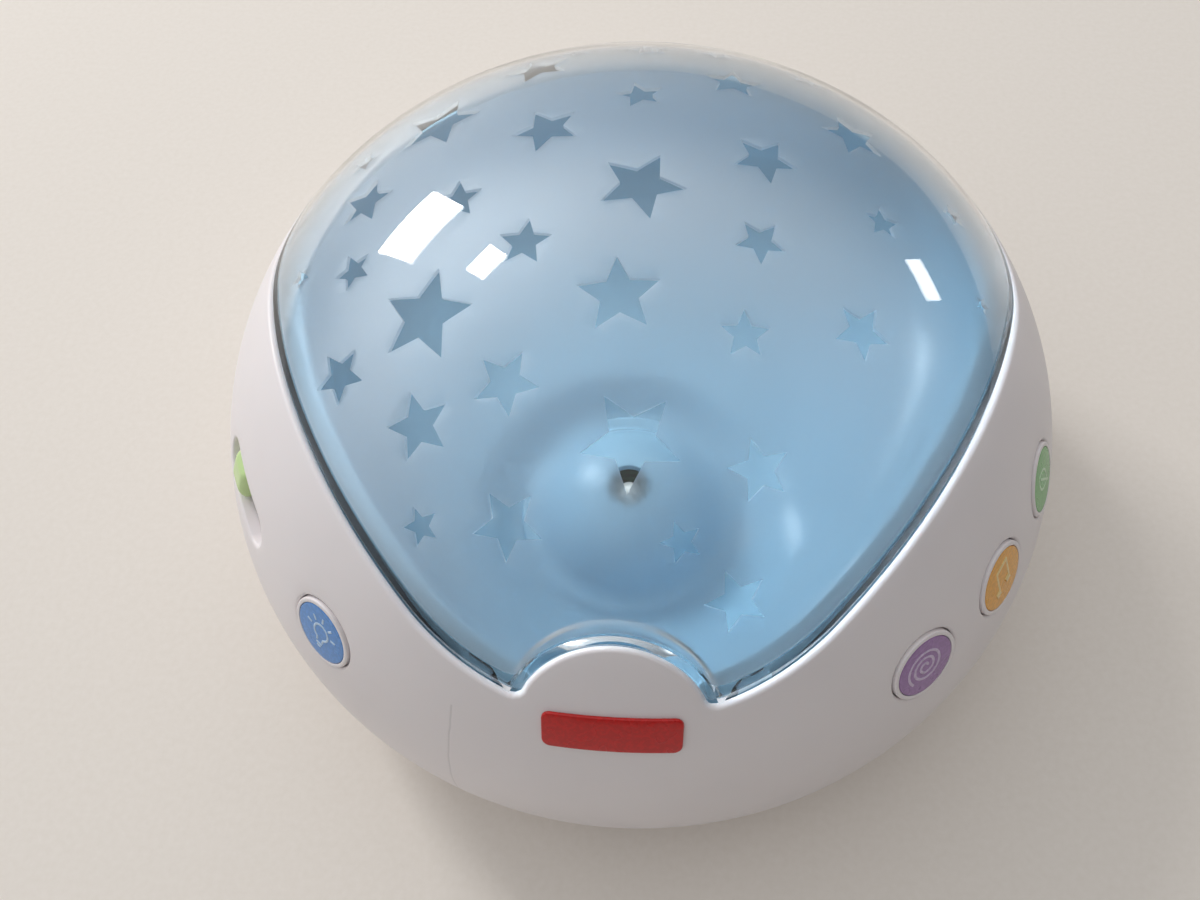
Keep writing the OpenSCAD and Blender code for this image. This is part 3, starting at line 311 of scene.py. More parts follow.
def frosted_blue(graph, place):
    """Blasted blue plastic: a grain that softens what lies under it, with a broad pale bloom."""
    grain = graph.noise(place, 2000.0, 2.0)
    patch = graph.noise(place, 70.0, 3.0)
    normal = graph.bump(grain, 0.1, 0.0001)
    aslant = graph.node("ShaderNodeLayerWeight", None, {"Blend": 0.5}, out="Facing")
    glass = graph.surface(
        base_color=(0.83, 0.885, 0.92),
        roughness=patch * 0.08 + 0.45,
        transmission_weight=1.0,
        ior=1.07,
        normal=normal,
    )
    bloom = graph.surface(base_color=(0.86, 0.89, 0.92), metallic=1.0, roughness=0.7, normal=normal)
    ring = aslant.ramp(0.0, 0.25) - aslant.ramp(0.25, 0.5) * 0.8
    share = grain.ramp(0.4, 0.66) * 0.04 + ring * 0.1 + 0.017
    frosted = graph.node("ShaderNodeMixShader", None, {0: share, 1: glass, 2: bloom})
    return lets_lamps_in(graph, frosted, (0.84, 0.89, 0.92))


def printed_disc(graph, place, colour):
    """Glossy printed plastic with a fine ink screen."""
    ink = graph.noise(place, 1400.0, 1.0).ramp(0.4, 0.65)
    drift = graph.noise(place, 150.0, 2.0)
    base = graph.blend(ink, shade(colour, 0.86), colour)
    normal = graph.bump(ink, 0.03, 0.0001)
    return graph.surface(base_color=base, roughness=drift * 0.12 + 0.22, ior=1.5, normal=normal)


def plated_steel(graph, place, colour):
    """Zinc-plated steel with drawn marks and dull patches."""
    drawn = graph.noise(place, 700.0, 2.0, (1.0, 1.0, 0.08))
    dull = graph.noise(place, 160.0, 3.0).ramp(0.4, 0.7)
    base = graph.blend(dull, colour, shade(colour, 0.8))
    normal = graph.bump(drawn, 0.06, 0.0001)
    roughness = dull * 0.15 + drawn * 0.1 + 0.25
    return graph.surface(base_color=base, metallic=1.0, roughness=roughness, normal=normal)


def circuit_board(graph, place, colour):
    """Solder-masked board with copper runs under the lacquer and a woven ground."""
    black = (0, 0, 0, 1)
    runs = graph.node(
        "ShaderNodeTexBrick",
        {"offset": 0.5},
        {"Vector": place, "Scale": 160.0, "Mortar Size": 0.06, "Color1": black, "Color2": black},
        out="Fac",
    )
    weave = graph.noise(place, 2200.0, 1.0)
    base = graph.blend(runs * 0.6, colour, shade(colour, 1.9))
    return graph.surface(base_color=base, roughness=weave * 0.15 + 0.3, normal=graph.bump(runs, 0.1, 0.0001))


def dull_rubber(graph, place, colour):
    """Soft rubber, dusty and finely pitted."""
    blotches = graph.noise(place, 220.0, 4.0).ramp(0.45, 0.75)
    pits = graph.noise(place, 1700.0, 3.0)
    base = graph.blend(blotches, colour, shade(colour, 1.35))
    return graph.surface(base_color=base, roughness=blotches * 0.1 + 0.75, normal=graph.bump(pits, 0.2, 0.0002))


def pressed_paper(graph, place, colour):
    """Pressed paper pulp with matted fibres."""
    fibre = graph.noise(place, 1300.0, 5.0, (1.0, 0.3, 1.0))
    base = graph.blend(fibre, shade(colour, 0.8), shade(colour, 1.3))
    return graph.surface(base_color=base, roughness=0.9, normal=graph.bump(fibre, 0.3, 0.0002))


def cell_sleeve(graph, place, colour):
    """Shrunk sleeve of a cell or capacitor: a coloured end and a dark barrel, no print."""
    band = graph.apart(place)[1].ramp(0.0335, 0.034)
    shrink = graph.noise(place, 240.0, 3.0, (1.0, 0.2, 1.0))
    base = graph.blend(band, (0.03, 0.03, 0.035), colour)
    normal = graph.bump(shrink, 0.05, 0.0002)
    return graph.surface(base_color=base, metallic=0.7, roughness=shrink * 0.15 + 0.25, normal=normal)


def lamp_lens(graph, place):
    """Clear epoxy of the lamp, slightly yellowed, with the phosphor patch near its foot."""
    phosphor = 1 - graph.apart(place)[2].ramp(0.047, 0.0495)
    swirl = graph.noise(place, 800.0, 2.0)
    base = graph.blend(phosphor, (0.92, 0.93, 0.88), (0.9, 0.72, 0.2))
    return graph.surface(base_color=base, roughness=swirl * 0.06 + 0.08, ior=1.5, coat_weight=0.4)


WHITE = srgb(238, 232, 233)
RECIPES = {
    "white_plastic": (housing_white, WHITE),
    "clear_plastic": (clear_polish,),
    "frosted_blue": (frosted_blue,),
    "pale_blue": (moulded, srgb(148, 187, 209), 0.12, 0.03),
    "board_green": (circuit_board, srgb(34, 92, 58)),
    "lamp_clear": (lamp_lens,),
    "badge_red": (printed_disc, srgb(204, 28, 26)),
    "knob_green": (moulded, srgb(204, 232, 162), 0.25),
    "steel": (plated_steel, (0.60, 0.61, 0.63)),
    "black_plastic": (moulded, (0.025, 0.025, 0.028), 0.45, 0.15),
    "capacitor_blue": (cell_sleeve, srgb(70, 92, 150)),
    "cone_paper": (pressed_paper, (0.03, 0.03, 0.032)),
    "ferrite": (dull_rubber, (0.05, 0.05, 0.055)),
    "cell_wrap": (cell_sleeve, srgb(205, 152, 84)),
    "contact_metal": (plated_steel, (0.74, 0.73, 0.70)),
    "grey_plastic": (moulded, srgb(190, 192, 196), 0.4),
    "grey_rubber": (dull_rubber, (0.12, 0.12, 0.125)),
    "switch_grey": (moulded, (0.06, 0.06, 0.065), 0.5, 0.1),
    "disc_blue": (printed_disc, srgb(92, 152, 222)),
    "disc_purple": (printed_disc, srgb(166, 126, 182)),
    "disc_orange": (printed_disc, srgb(246, 176, 58)),
    "disc_green": (printed_disc, srgb(96, 178, 92)),
    "disc_blue_ink": (printed_disc, srgb(196, 222, 246)),
    "disc_purple_ink": (printed_disc, srgb(216, 196, 226)),
    "disc_orange_ink": (printed_disc, srgb(252, 224, 160)),
    "disc_green_ink": (printed_disc, srgb(190, 226, 186)),
}
FINISHES = {name: finish(name, *recipe) for name, recipe in RECIPES.items()}
for part in frame["record"]["subparts"]:
    mesh = nodes[part["node"]].data
    mesh.materials.clear()
    mesh.materials.append(FINISHES[part["material_slot"]])


def skin(plane, depth=0.0):
    """Points below the skin and its outward normals, from plane points laid out by the way from the crown."""
    way = np.hypot(plane[:, 0], plane[:, 1])
    crown = way < CROWN_WAY
    el = np.where(crown, math.pi / 2 - way / CROWN_R, MEET - (way - CROWN_WAY) / WALL_R)
    arc = np.where(crown, CROWN_R, WALL_R) - depth
    out = np.where(crown, 0.0, WALL_CX) + arc * np.cos(el)
    up = np.where(crown, CROWN_Z, PARTING_Z) + arc * np.sin(el)
    side = plane / np.maximum(way, 1e-9)[:, None]
    points = np.column_stack((side * out[:, None], up))
    return points, np.column_stack((side * np.cos(el)[:, None], np.sin(el)))


def flat(points):
    """Plane points of points near the skin."""
    points = np.asarray(points)
    out = np.hypot(points[:, 0], points[:, 1])
    crown_el = np.arctan2(points[:, 2] - CROWN_Z, out)
    wall_el = np.arctan2(points[:, 2] - PARTING_Z, out - WALL_CX)
    wall_way = CROWN_WAY + WALL_R * (MEET - wall_el)
    way = np.where(crown_el > MEET, CROWN_R * (math.pi / 2 - crown_el), wall_way)
    return points[:, :2] / np.maximum(out, 1e-9)[:, None] * way[:, None]


def drop(points, along, depth):
    """Moves points along a direction until they lie at a depth below the skin."""
    points = np.array(points, float)
    for _ in range(SETTLE_ROUNDS):
        on, normals = skin(flat(points), depth)
        off = ((points - on) * normals).sum(1) / (normals * along).sum(1)
        points = points - along * off[:, None]
    return points


def axes_at(az, el):
    """The way out from the axis, and axes down the slope, round the body and outward."""
    out = np.array((math.sin(az), -math.cos(az), 0.0))
    normal = math.cos(el) * out + math.sin(el) * UP
    down = math.sin(el) * out - math.cos(el) * UP
    return out, np.array((down, (math.cos(az), math.sin(az), 0.0), normal))


def spot(az, el):
    """A place on the housing wall, with its axes, from degrees."""
    out, axes = axes_at(math.radians(az), math.radians(el))
    return WALL_CX * out + PARTING_Z * UP + WALL_R * axes[2], axes


def dome_spot(az, distance):
    """A place on the dome at a distance from the axis, with its axes."""
    if distance >= MEET_R:
        return spot(az, math.degrees(math.acos((distance - WALL_CX) / WALL_R)))
    axes = axes_at(math.radians(az), math.acos(distance / CROWN_R))[1]
    return CROWN_Z * UP + CROWN_R * axes[2], axes


def unit(vectors):
    return vectors / np.maximum(np.linalg.norm(vectors, axis=-1, keepdims=True), 1e-12)


def window(grow, count=900):
    """The rounded three-cornered window outline, grown evenly, counter-clockwise from the front."""
    phi = np.arange(count) * FULL / count
    from_corner = (phi + THIRD / 2) % THIRD - THIRD / 2
    corner = np.abs(from_corner) < CORNER_HALF
    base = phi - np.where(corner, from_corner, phi % THIRD - THIRD / 2)
    centre = np.where(corner, CORNER_C, -SIDE_GAP)
    radius = np.where(corner, CORNER_R, SIDE_R) + grow
    x = centre * np.sin(base) + radius * np.sin(phi)
    y = -centre * np.cos(base) - radius * np.cos(phi)
    return np.column_stack((x, y, np.full(count, START_Z)))


def inside(points, loops):
    """Whether plane points lie in the area between loops, by the even and odd rule."""
    hits = np.zeros(len(points), int)
    for loop in loops:
        nxt = np.roll(loop, -1, 0)
        for (ax, ay), (bx, by) in zip(loop, nxt):
            if ay == by:
                continue
            cross = (points[:, 1] > ay) != (points[:, 1] > by)
            hits += cross & (points[:, 0] < ax + (points[:, 1] - ay) * (bx - ax) / (by - ay))
    return hits % 2 == 1


def even(loop, step, rounds=0):
    """A closed loop with even steps, its corners softened by averaging."""
    for done in range(rounds + 1):
        ends = np.vstack((loop, loop[:1]))
        way = np.concatenate(([0], np.cumsum(np.linalg.norm(np.diff(ends, axis=0), axis=1))))
        count = max(8, int(round(way[-1] / step)))
        at = np.arange(count) * way[-1] / count
        loop = np.column_stack([np.interp(at, way, ends[:, i]) for i in range(3)])
        if done < rounds:
            loop = (np.roll(loop, 1, 0) + 2 * loop + np.roll(loop, -1, 0)) / 4
    return loop


def rim_loop(inset, depth=0.0):
    """Edge of the dome window moved inward, less the tongue, counter-clockwise, and the way its wall goes."""
    place, axes = spot(0, TONGUE_EL)
    edge = drop(window(-inset), UP, depth)
    reach = TONGUE_R + inset
    off = np.linalg.norm(((edge - place) @ axes.T)[:, :2], axis=1)
    turn = np.radians(np.linspace(-TONGUE_SWEEP, TONGUE_SWEEP, 2 * TONGUE_SWEEP))
    ring = np.column_stack((-np.cos(turn), np.sin(turn), np.zeros(len(turn)))) * reach
    arch = drop(place + ring @ axes, axes[2], depth)
    arch = arch[inside(arch[:, :2], [window(-inset)[:, :2]])]
    loop = even(np.vstack((edge[off > reach], arch)), RIM_FINE, RIM_ROUNDS)
    loop = even(loop, RIM_STEP)
    off = np.linalg.norm(((loop - place) @ axes.T)[:, :2], axis=1)
    near = (off < reach + TONGUE_NEAR)[:, None] & (loop[:, 1:2] < 0)
    walls = np.where(near, -axes[2], -UP)
    for _ in range(4):
        walls = unit((np.roll(walls, 1, 0) + 2 * walls + np.roll(walls, -1, 0)) / 4)
    return drop(loop, UP, depth), walls


def left_of(loop):
    """Direction in the skin to the left of a loop's travel."""
    along = unit(np.roll(loop, -1, 0) - np.roll(loop, 1, 0))
    return unit(np.cross(skin(flat(loop))[1], along))


def rounded(loop, into, walls, radius, depth=0.0, steps=5):
    """Rings that round an edge off, from the skin to the wall that goes down from it."""
    along = unit(np.roll(loop, -1, 0) - np.roll(loop, 1, 0))
    walls = unit(walls - along * (walls * along).sum(1)[:, None])
    half = np.arccos(np.clip((into * walls).sum(1), -0.99, 0.99)) / 2
    reach = (radius / np.tan(half))[:, None]
    centre = loop + unit(into + walls) * (radius / np.sin(half))[:, None]
    first, last = loop + into * reach - centre, loop + walls * reach - centre
    bend = (math.pi - 2 * half)[:, None]
    lift = loop + into * reach - skin(flat(loop + into * reach), depth)[0]
    rings = []
    for k in np.linspace(0, 1, steps + 1):
        share = (np.sin((1 - k) * bend) * first + np.sin(k * bend) * last) / np.sin(bend)
        rings.append(centre + share - lift * (1 - k))
    return rings


def stand(name, data):
    """A new object at the origin of the scene."""
    made = bpy.data.objects.new(name, data)
    scene.collection.objects.link(made)
    return made


def new_piece(name, points, faces, material):
    """A mesh object at the origin, from millimetres, smooth but for its sharp edges."""
    mesh = bpy.data.meshes.new(name)
    mesh.from_pydata((np.asarray(points) * MM).tolist(), [], [tuple(int(i) for i in face) for face in faces])
    crisp(mesh, CREASE)
    mesh.materials.append(material)
    return stand(name, mesh)


def crisp(mesh, crease):
    """Smooth shading that breaks where faces meet at more than an angle."""
    shape = bmesh.new()
    shape.from_mesh(mesh)
    for face in shape.faces:
        face.smooth = True
    for edge in shape.edges:
        edge.smooth = len(edge.link_faces) == 2 and edge.calc_face_angle() < math.radians(crease)
    shape.to_mesh(mesh)
    shape.free()


class Shell:
    """Collects rings, strips between them and triangulated patches of the skin."""

    def __init__(self):
        self.points, self.faces = [], []

    def ring(self, points):
        start = len(self.points)
        self.points.extend(points)
        return np.arange(start, start + len(points))

    def strip(self, upper, lower):
        for i in range(len(upper)):
            j = (i + 1) % len(upper)
            self.faces.append((upper[j], upper[i], lower[i], lower[j]))

    def strips(self, rings):
        made = [self.ring(points) for points in rings]
        for upper, lower in zip(made, made[1:]):
            self.strip(upper, lower)
        return made[0], made[-1]

    def patch(self, depth, rings, step, under=False):
        loops = [flat([self.points[i] for i in ring]) for ring in rings]
        edge = np.vstack(loops)
        tree = KDTree(len(edge))
        for i, (x, y) in enumerate(edge):
            tree.insert((x, y, 0), i)
        tree.balance()
        low, high = edge.min(0), edge.max(0)
        rows = np.arange(low[1], high[1], step * 0.866)
        columns = np.arange(low[0], high[0], step)
        grid = np.array([(x + step / 2 * (k % 2), y) for k, y in enumerate(rows) for x in columns])
        grid = grid[inside(grid, loops)]
        grid = np.array([p for p in grid if tree.find((p[0], p[1], 0))[2] > step * 0.6]).reshape(-1, 2)
        filled = self.ring(skin(grid, depth)[0]) if len(grid) else np.zeros(0, int)
        ids = np.concatenate([*rings, filled]).astype(int)
        every = np.vstack((edge, grid))
        ties, start = [], 0
        for loop in loops:
            ties += [(start + i, start + (i + 1) % len(loop)) for i in range(len(loop))]
            start += len(loop)
        made = delaunay_2d_cdt([Vector(p) for p in every], ties, [], 0, 1e-6)
        source = [made[3][i][0] for i in range(len(made[0]))]
        tris = np.array([[source[i] for i in face] for face in made[2]])
        tris = tris[inside(every[tris].mean(1), loops)]
        self.faces.extend(ids[tris[:, ::-1] if under else tris].tolist())

    def piece(self, name, material):
        return new_piece(name, self.points, self.faces, material)


def local(place, axes, points):
    return place + np.asarray(points) @ axes


def slot_outline(grow, count=24):
    """Stadium round the volume slot, counter-clockwise in its own plane."""
    turn = np.linspace(0, math.pi, count)
    radius = SLOT_R + grow
    end = np.column_stack((radius * np.cos(turn), SLOT_HALF + radius * np.sin(turn), np.zeros(count)))
    return np.vstack((end, end * (-1, -1, 1)))


def circle(radius, count=72):
    turn = np.arange(count) * FULL / count
    return np.column_stack((radius * np.cos(turn), radius * np.sin(turn), np.zeros(count)))


def build_housing():
    """White upper shell: rounded rim round the dome, guide collars at the buttons and the volume slot."""
    shell, outer, inner = Shell(), [], []
    out = circle(1.0, FOOT_COUNT)
    bottom = out * BODY_R + UP * PARTING_Z
    rings = rounded(bottom, np.tile(UP, (len(out), 1)), -out, FOOT_ROUND)
    first, last = shell.strips([*rings, out * (BODY_R - WALL) + UP * PARTING_Z])
    outer.append(first)
    inner.append(last)
    loop, walls = rim_loop(0.0)
    loop, walls = loop[::-1], walls[::-1]
    rings = rounded(loop, left_of(loop), walls, RIM_ROUND)
    first, last = shell.strips([*rings, drop(loop, walls, WALL)])
    outer.append(first)
    inner.append(last)
    hole, collar = circle(HOLE_R), circle(HOLE_R + COLLAR_T)
    holes = [(spot(az, CONTROL_EL), hole, collar) for az, _ in BUTTONS.values()]
    hole, collar = even(slot_outline(0), SLOT_STEP), even(slot_outline(COLLAR_T), SLOT_STEP)
    holes.append((spot(SLOT_AZ, CONTROL_EL), hole, collar))
    for (place, axes), hole, collar in holes:
        loop = drop(local(place, axes, hole[::-1]), axes[2], 0.0)
        walls = np.tile(-axes[2], (len(loop), 1))
        rings = rounded(loop, left_of(loop), walls, HOLE_ROUND, steps=4)
        first, last = shell.strips([*rings, local(place, axes, hole[::-1] - UP * COLLAR_DEPTH)])
        outer.append(first)
        foot = local(place, axes, even(collar, COLLAR_STEP)[::-1] - UP * COLLAR_DEPTH)
        outside, root = shell.strips([foot, drop(foot, axes[2], WALL)])
        fan(shell, last, outside)
        inner.append(root)
    shell.patch(0.0, outer, SKIN_STEP)
    shell.patch(WALL, inner, HOUSING_UNDER, under=True)
    return shell.piece("housing_shell", FINISHES["white_plastic"])


def fan(shell, ring, wider):
    """Flat band between two rings of different counts that run the same way round."""
    a, b = len(ring), len(wider)
    points = np.array(shell.points)
    start = int(np.argmin(np.linalg.norm(points[wider] - points[ring[0]], axis=1)))
    i = j = 0
    while i < a or j < b:
        p, q = ring[i % a], wider[(start + j) % b]
        if i < a and (j == b or (i + 1) * b <= (j + 1) * a):
            shell.faces.append((ring[(i + 1) % a], p, q))
            i += 1
        else:
            shell.faces.append((p, q, wider[(start + j + 1) % b]))
            j += 1


def build_dome():
    """Clear dome with a thick edge wall."""
    shell = Shell()
    loop, walls = rim_loop(GAP)
    rings = rounded(loop, left_of(loop), walls, DOME_ROUND)
    first, last = shell.strips([*rings, drop(loop, walls, DOME_EDGE_DEPTH)])
    shell.patch(0.0, [first], SKIN_STEP)
    foot, walls = rim_loop(GAP + DOME_EDGE, DOME_EDGE_DEPTH)
    low = shell.ring(foot[::-1])
    high = shell.ring(drop(foot, walls, DOME_T)[::-1])
    shell.strip(high, low)
    shell.patch(DOME_EDGE_DEPTH, [last, low], EDGE_UNDER, under=True)
    shell.patch(DOME_T, [high], DOME_UNDER, under=True)
    return shell.piece("dome_shell", FINISHES["clear_plastic"])


def star_outline(radius, turn, parts=4):
    """Five-point star, clockwise, with points along its sides."""
    tips = [
        (radius if i % 2 == 0 else STAR_VALLEY * radius, math.radians(36 * i + turn)) for i in range(10)
    ]
    corners = np.array([(r * math.cos(a), r * math.sin(a), 0.0) for r, a in tips])
    sides = zip(corners, np.roll(corners, -1, 0))
    return np.vstack([a + (b - a) * (np.arange(parts) / parts)[:, None] for a, b in sides])[::-1]


def build_screen():
    """Frosted screen with its star windows."""
    shell = Shell()
    loop, walls = rim_loop(SCREEN_IN, SCREEN_TOP)
    first, last = shell.strips([loop, drop(loop, walls, SCREEN_LOW)])
    upper, lower = [first], [last]
    for az, distance, radius, turn in STARS:
        place, axes = dome_spot(az, distance)
        loop = drop(local(place, axes, star_outline(radius, turn)), axes[2], SCREEN_TOP)
        walls = np.tile(-axes[2], (len(loop), 1))
        rings = rounded(loop, left_of(loop), walls, STAR_ROUND, SCREEN_TOP, 2)
        top, low = shell.strips([*rings, drop(loop, axes[2], SCREEN_LOW)])
        upper.append(top)
        lower.append(low)
    shell.patch(SCREEN_TOP, upper, SCREEN_STEP)
    shell.patch(SCREEN_LOW, lower, SCREEN_UNDER, under=True)
    return shell.piece("star_layer", FINISHES["frosted_blue"])


def lathe(name, profile, material, place, axes=np.eye(3), count=96):
    """A turned piece. Its profile of radius and height runs outward over the top and back underneath."""
    points, faces, rings = [], [], []
    for radius, height in profile:
        rings.append(len(points))
        if radius < 1e-6:
            points.append((0, 0, height))
        else:
            points.extend(circle(radius, count) + UP * height)
    last = len(profile) - (1 if profile[0][0] < 1e-6 else 0)
    for k in range(last):
        nxt = (k + 1) % len(profile)
        a, b = rings[k], rings[nxt]
        for i in range(count):
            j = (i + 1) % count
            if profile[k][0] < 1e-6:
                faces.append((a, b + i, b + j))
            elif profile[nxt][0] < 1e-6:
                faces.append((a + i, b, a + j))
            else:
                faces.append((a + i, b + i, b + j, a + j))
    return new_piece(name, local(place, axes, points), faces, material)


def corner(profile, steps=4):
    """Rounds every corner of a profile whose entry has a third value, the radius."""
    rows = []
    for i, entry in enumerate(profile):
        r = entry[2] if len(entry) > 2 else 0.0
        here = np.array(entry[:2], float)
        if r <= 0 or i in (0, len(profile) - 1):
            rows.append(tuple(here))
            continue
        back, on = np.array(profile[i - 1][:2]) - here, np.array(profile[i + 1][:2]) - here
        a, b = unit(back), unit(on)
        half = math.acos(max(-0.999, min(0.999, float(a @ b)))) / 2
        reach = min(r / math.tan(half), 0.45 * np.linalg.norm(back), 0.45 * np.linalg.norm(on))
        start, end = here + a * reach, here + b * reach
        for t in np.linspace(0, 1, steps + 1):
            rows.append(tuple((1 - t) ** 2 * start + 2 * t * (1 - t) * here + t * t * end))
    return rows


def build_button(name, az, slot_name):
    """A white cap that holds a coloured disc with its picture."""
    place, axes = spot(az, CONTROL_EL)
    seat = CAP_PROUD - DISC_T
    cap = corner(
        [
            (0, seat),
            (DISC_R + DISC_GAP, seat),
            (DISC_R + DISC_GAP, CAP_PROUD, DISC_GAP),
            (CAP_R, CAP_PROUD, CAP_ROUND),
            (CAP_R, LIP_TOP),
            (LIP_R, LIP_TOP),
            (LIP_R, LIP_TOP - LIP_T),
            (CAP_R - CAP_T, LIP_TOP - LIP_T),
            (CAP_R - CAP_T, seat - CAP_T),
            (STEM_R, seat - CAP_T),
            (STEM_R, STEM_END),
            (0, STEM_END),
        ]
    )
    disc = corner([(0, CAP_PROUD), (DISC_R, CAP_PROUD, DISC_ROUND), (DISC_R, seat), (0, seat)])
    key = name + "_key"
    cap = lathe(name + "_cap", cap, FINISHES["white_plastic"], place, axes)
    keep(cap, key, "white_plastic", name + "_button")
    disc = lathe(name + "_disc_face", disc, FINISHES[slot_name], place, axes)
    keep(disc, key, slot_name, name + "_button_disc")
    build_icon(name, place, axes, FINISHES[slot_name + "_ink"])


def grown(name, build, inputs, material, path=None, thickness=0.0):
    """Evaluates a geometry tree once and keeps its plain mesh."""
    tree = bpy.data.node_groups.new(name, "GeometryNodeTree")
    tree.interface.new_socket("Geometry", in_out="INPUT", socket_type="NodeSocketGeometry")
    tree.interface.new_socket("Geometry", in_out="OUTPUT", socket_type="NodeSocketGeometry")
    keys = {}
    for label, value in inputs.items():
        kind = "NodeSocketInt" if isinstance(value, int) else "NodeSocketFloat"
        keys[label] = tree.interface.new_socket(label, in_out="INPUT", socket_type=kind).identifier
    graph = Graph(tree)
    entry = tree.nodes.new("NodeGroupInput")
    given = {socket.name: Wire(graph, socket) for socket in entry.outputs if socket.name}
    shape = graph.node("GeometryNodeRealizeInstances", None, {0: build(graph, given)})
    shape = graph.node("GeometryNodeSetMaterial", None, {"Geometry": shape, "Material": material})
    graph.node("NodeGroupOutput", None, {0: shape})
    mesh = bpy.data.meshes.new(name)
    if path is not None:
        mesh.from_pydata((np.asarray(path) * MM).tolist(), [(i, i + 1) for i in range(len(path) - 1)], [])
    piece = stand(name, mesh)
    modifier = piece.modifiers.new("grown", "NODES")
    modifier.node_group = tree
    for label, value in inputs.items():
        modifier[keys[label]] = value
    if thickness:
        sheet = piece.modifiers.new("sheet", "SOLIDIFY")
        sheet.thickness, sheet.offset, sheet.use_even_offset = thickness, -1.0, True
    made = bpy.data.meshes.new_from_object(piece.evaluated_get(bpy.context.evaluated_depsgraph_get()))
    piece.modifiers.clear()
    piece.data = made
    return piece


def keep(piece, body, slot_name, *replaced):
    """Hangs a finished piece under its body empty and hides the parts it replaces."""
    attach(piece, body)
    if replaced:
        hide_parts(*replaced)


def tray_bowl(graph, given):
    """Bowl under the screen: a round well for the lamp pod in a dished shelf, a wall and a lap."""

    def outline(phi, inset):
        from_corner = (phi + THIRD / 2) % THIRD - THIRD / 2
        at_corner = abs(from_corner) < CORNER_HALF
        at_side = 1 - at_corner
        base = phi - at_corner * from_corner - at_side * (phi % THIRD - THIRD / 2)
        centre = at_corner * (CORNER_C * MM) - at_side * (SIDE_GAP * MM)
        radius = at_corner * (CORNER_R * MM) + at_side * (SIDE_R * MM) - inset
        return centre * base.sin() + radius * phi.sin(), 0 - centre * base.cos() - radius * phi.cos()

    def ground(x, y):
        ball = WELL_R / math.sin(math.radians(WELL_SLOPE))
        around = x * x + (y + TURRET_Y * MM) ** 2
        sunk = ball * MM * math.cos(math.radians(WELL_SLOPE))
        well = given["Floor"] + sunk - ((ball * MM) ** 2 - around) ** 0.5
        rise = math.sqrt(DISH_R**2 - SHELF_R**2) * MM
        shelf = given["Floor"] + given["Shelf lift"]
        dish = shelf + rise - ((DISH_R * MM) ** 2 - x * x - y * y) ** 0.5
        return well.most(given["Floor"], EASE).least(dish.most(shelf, EASE), EASE)

    def under_dome(x, y):
        out = (x * x + y * y) ** 0.5 - WALL_CX * MM
        return ((WALL_R - TRAY_DEPTH) ** 2 * MM**2 - out * out) ** 0.5 + PARTING_Z * MM

    def sheet(rows, lay):
        grid = graph.node(
            "GeometryNodeMeshGrid",
            None,
            {"Size X": 1.0, "Size Y": 1.0, "Vertices X": given["Steps round"], "Vertices Y": rows},
        )
        round_share, row_share, _ = graph.apart(graph.node("GeometryNodeInputPosition"))
        x, y, z = lay((round_share + 0.5) * FULL, row_share + 0.5)
        point = graph.node("ShaderNodeCombineXYZ", None, {0: x, 1: y, 2: z})
        return graph.node("GeometryNodeSetPosition", None, {"Geometry": grid, "Position": point})

    fillet, inset, edge = given["Fillet"], given["Wall inset"], given["Edge round"]

    def floor_part(phi, t):
        x, y = outline(phi, inset + fillet)
        x, y = x * t, y * t
        return x, y, ground(x, y)

    def fillet_part(phi, t):
        bend = t * (math.pi / 2)
        x, y = outline(phi, inset + fillet * (1 - bend.sin()))
        return x, y, ground(x, y) + fillet * (1 - bend.cos())

    def wall_part(phi, t):
        x, y = outline(phi, inset)
        low = ground(x, y) + fillet
        return x, y, low + (under_dome(x, y) - edge - low) * t

    def edge_part(phi, t):
        top = under_dome(*outline(phi, inset))
        past = under_dome(*outline(phi, inset - edge))
        x, y = outline(phi, inset - edge * t * t)
        return x, y, top - edge * (1 - t) * (1 - t) + t * t * (past - top)

    def lap_part(phi, t):
        x, y = outline(phi, inset - edge - t * (inset - edge + DOME_LAP * MM))
        return x, y, under_dome(x, y)

    rows = ((64, floor_part), (10, fillet_part), (6, wall_part), (8, edge_part), (6, lap_part))
    shape = graph.node("GeometryNodeJoinGeometry", None, {0: [sheet(*row) for row in rows]})
    shape = graph.node("GeometryNodeMergeByDistance", None, {"Geometry": shape, "Distance": WELD})
    return graph.node("GeometryNodeFlipFaces", None, {0: shape})


def raised_line(graph, given):
    """A printed line: a flattened bead that follows a path."""
    curve = graph.node("GeometryNodeMeshToCurve", None, {0: given["Geometry"]})
    round_bead = {"Resolution": 12, "Radius": given["Half width"]}
    section = graph.node("GeometryNodeCurvePrimitiveCircle", None, round_bead)
    bead = graph.node("GeometryNodeCurveToMesh", None, {0: curve, 1: section, "Fill Caps": True})
    return graph.node("GeometryNodeTransform", None, {"Geometry": bead, "Scale": (1.0, 1.0, 0.35)})


def move_mesh(piece, place, axes):
    """Moves a mesh made about the origin into a place and its axes."""
    turned = Matrix(axes.T.tolist()).to_4x4()
    piece.data.transform(Matrix.Translation(Vector(place * MM)) @ turned)


def arc(radius, start, end, centre=(0.0, 0.0), count=24):
    turn = np.radians(np.linspace(start, end, count))
    return np.column_stack((centre[0] + radius * np.cos(turn), centre[1] + radius * np.sin(turn)))


def spiral(inner, outer, turns, count=120):
    share = np.linspace(0, 1, count)
    radius, turn = inner + (outer - inner) * share, share * turns * FULL
    return np.column_stack((radius * np.cos(turn), radius * np.sin(turn)))


def ray(angle, inner, outer, centre=(0.0, 0.0)):
    turn = math.radians(angle)
    way = np.array((math.cos(turn), math.sin(turn)))
    return np.array(centre) + np.outer((inner, (inner + outer) / 2, outer), way)


def leaf_side(bulge):
    share = np.linspace(0, 1, 24)
    return np.column_stack((bulge * np.sin(share * math.pi) ** 0.8, -3.4 + 7.0 * share)) @ LEAF_TURN


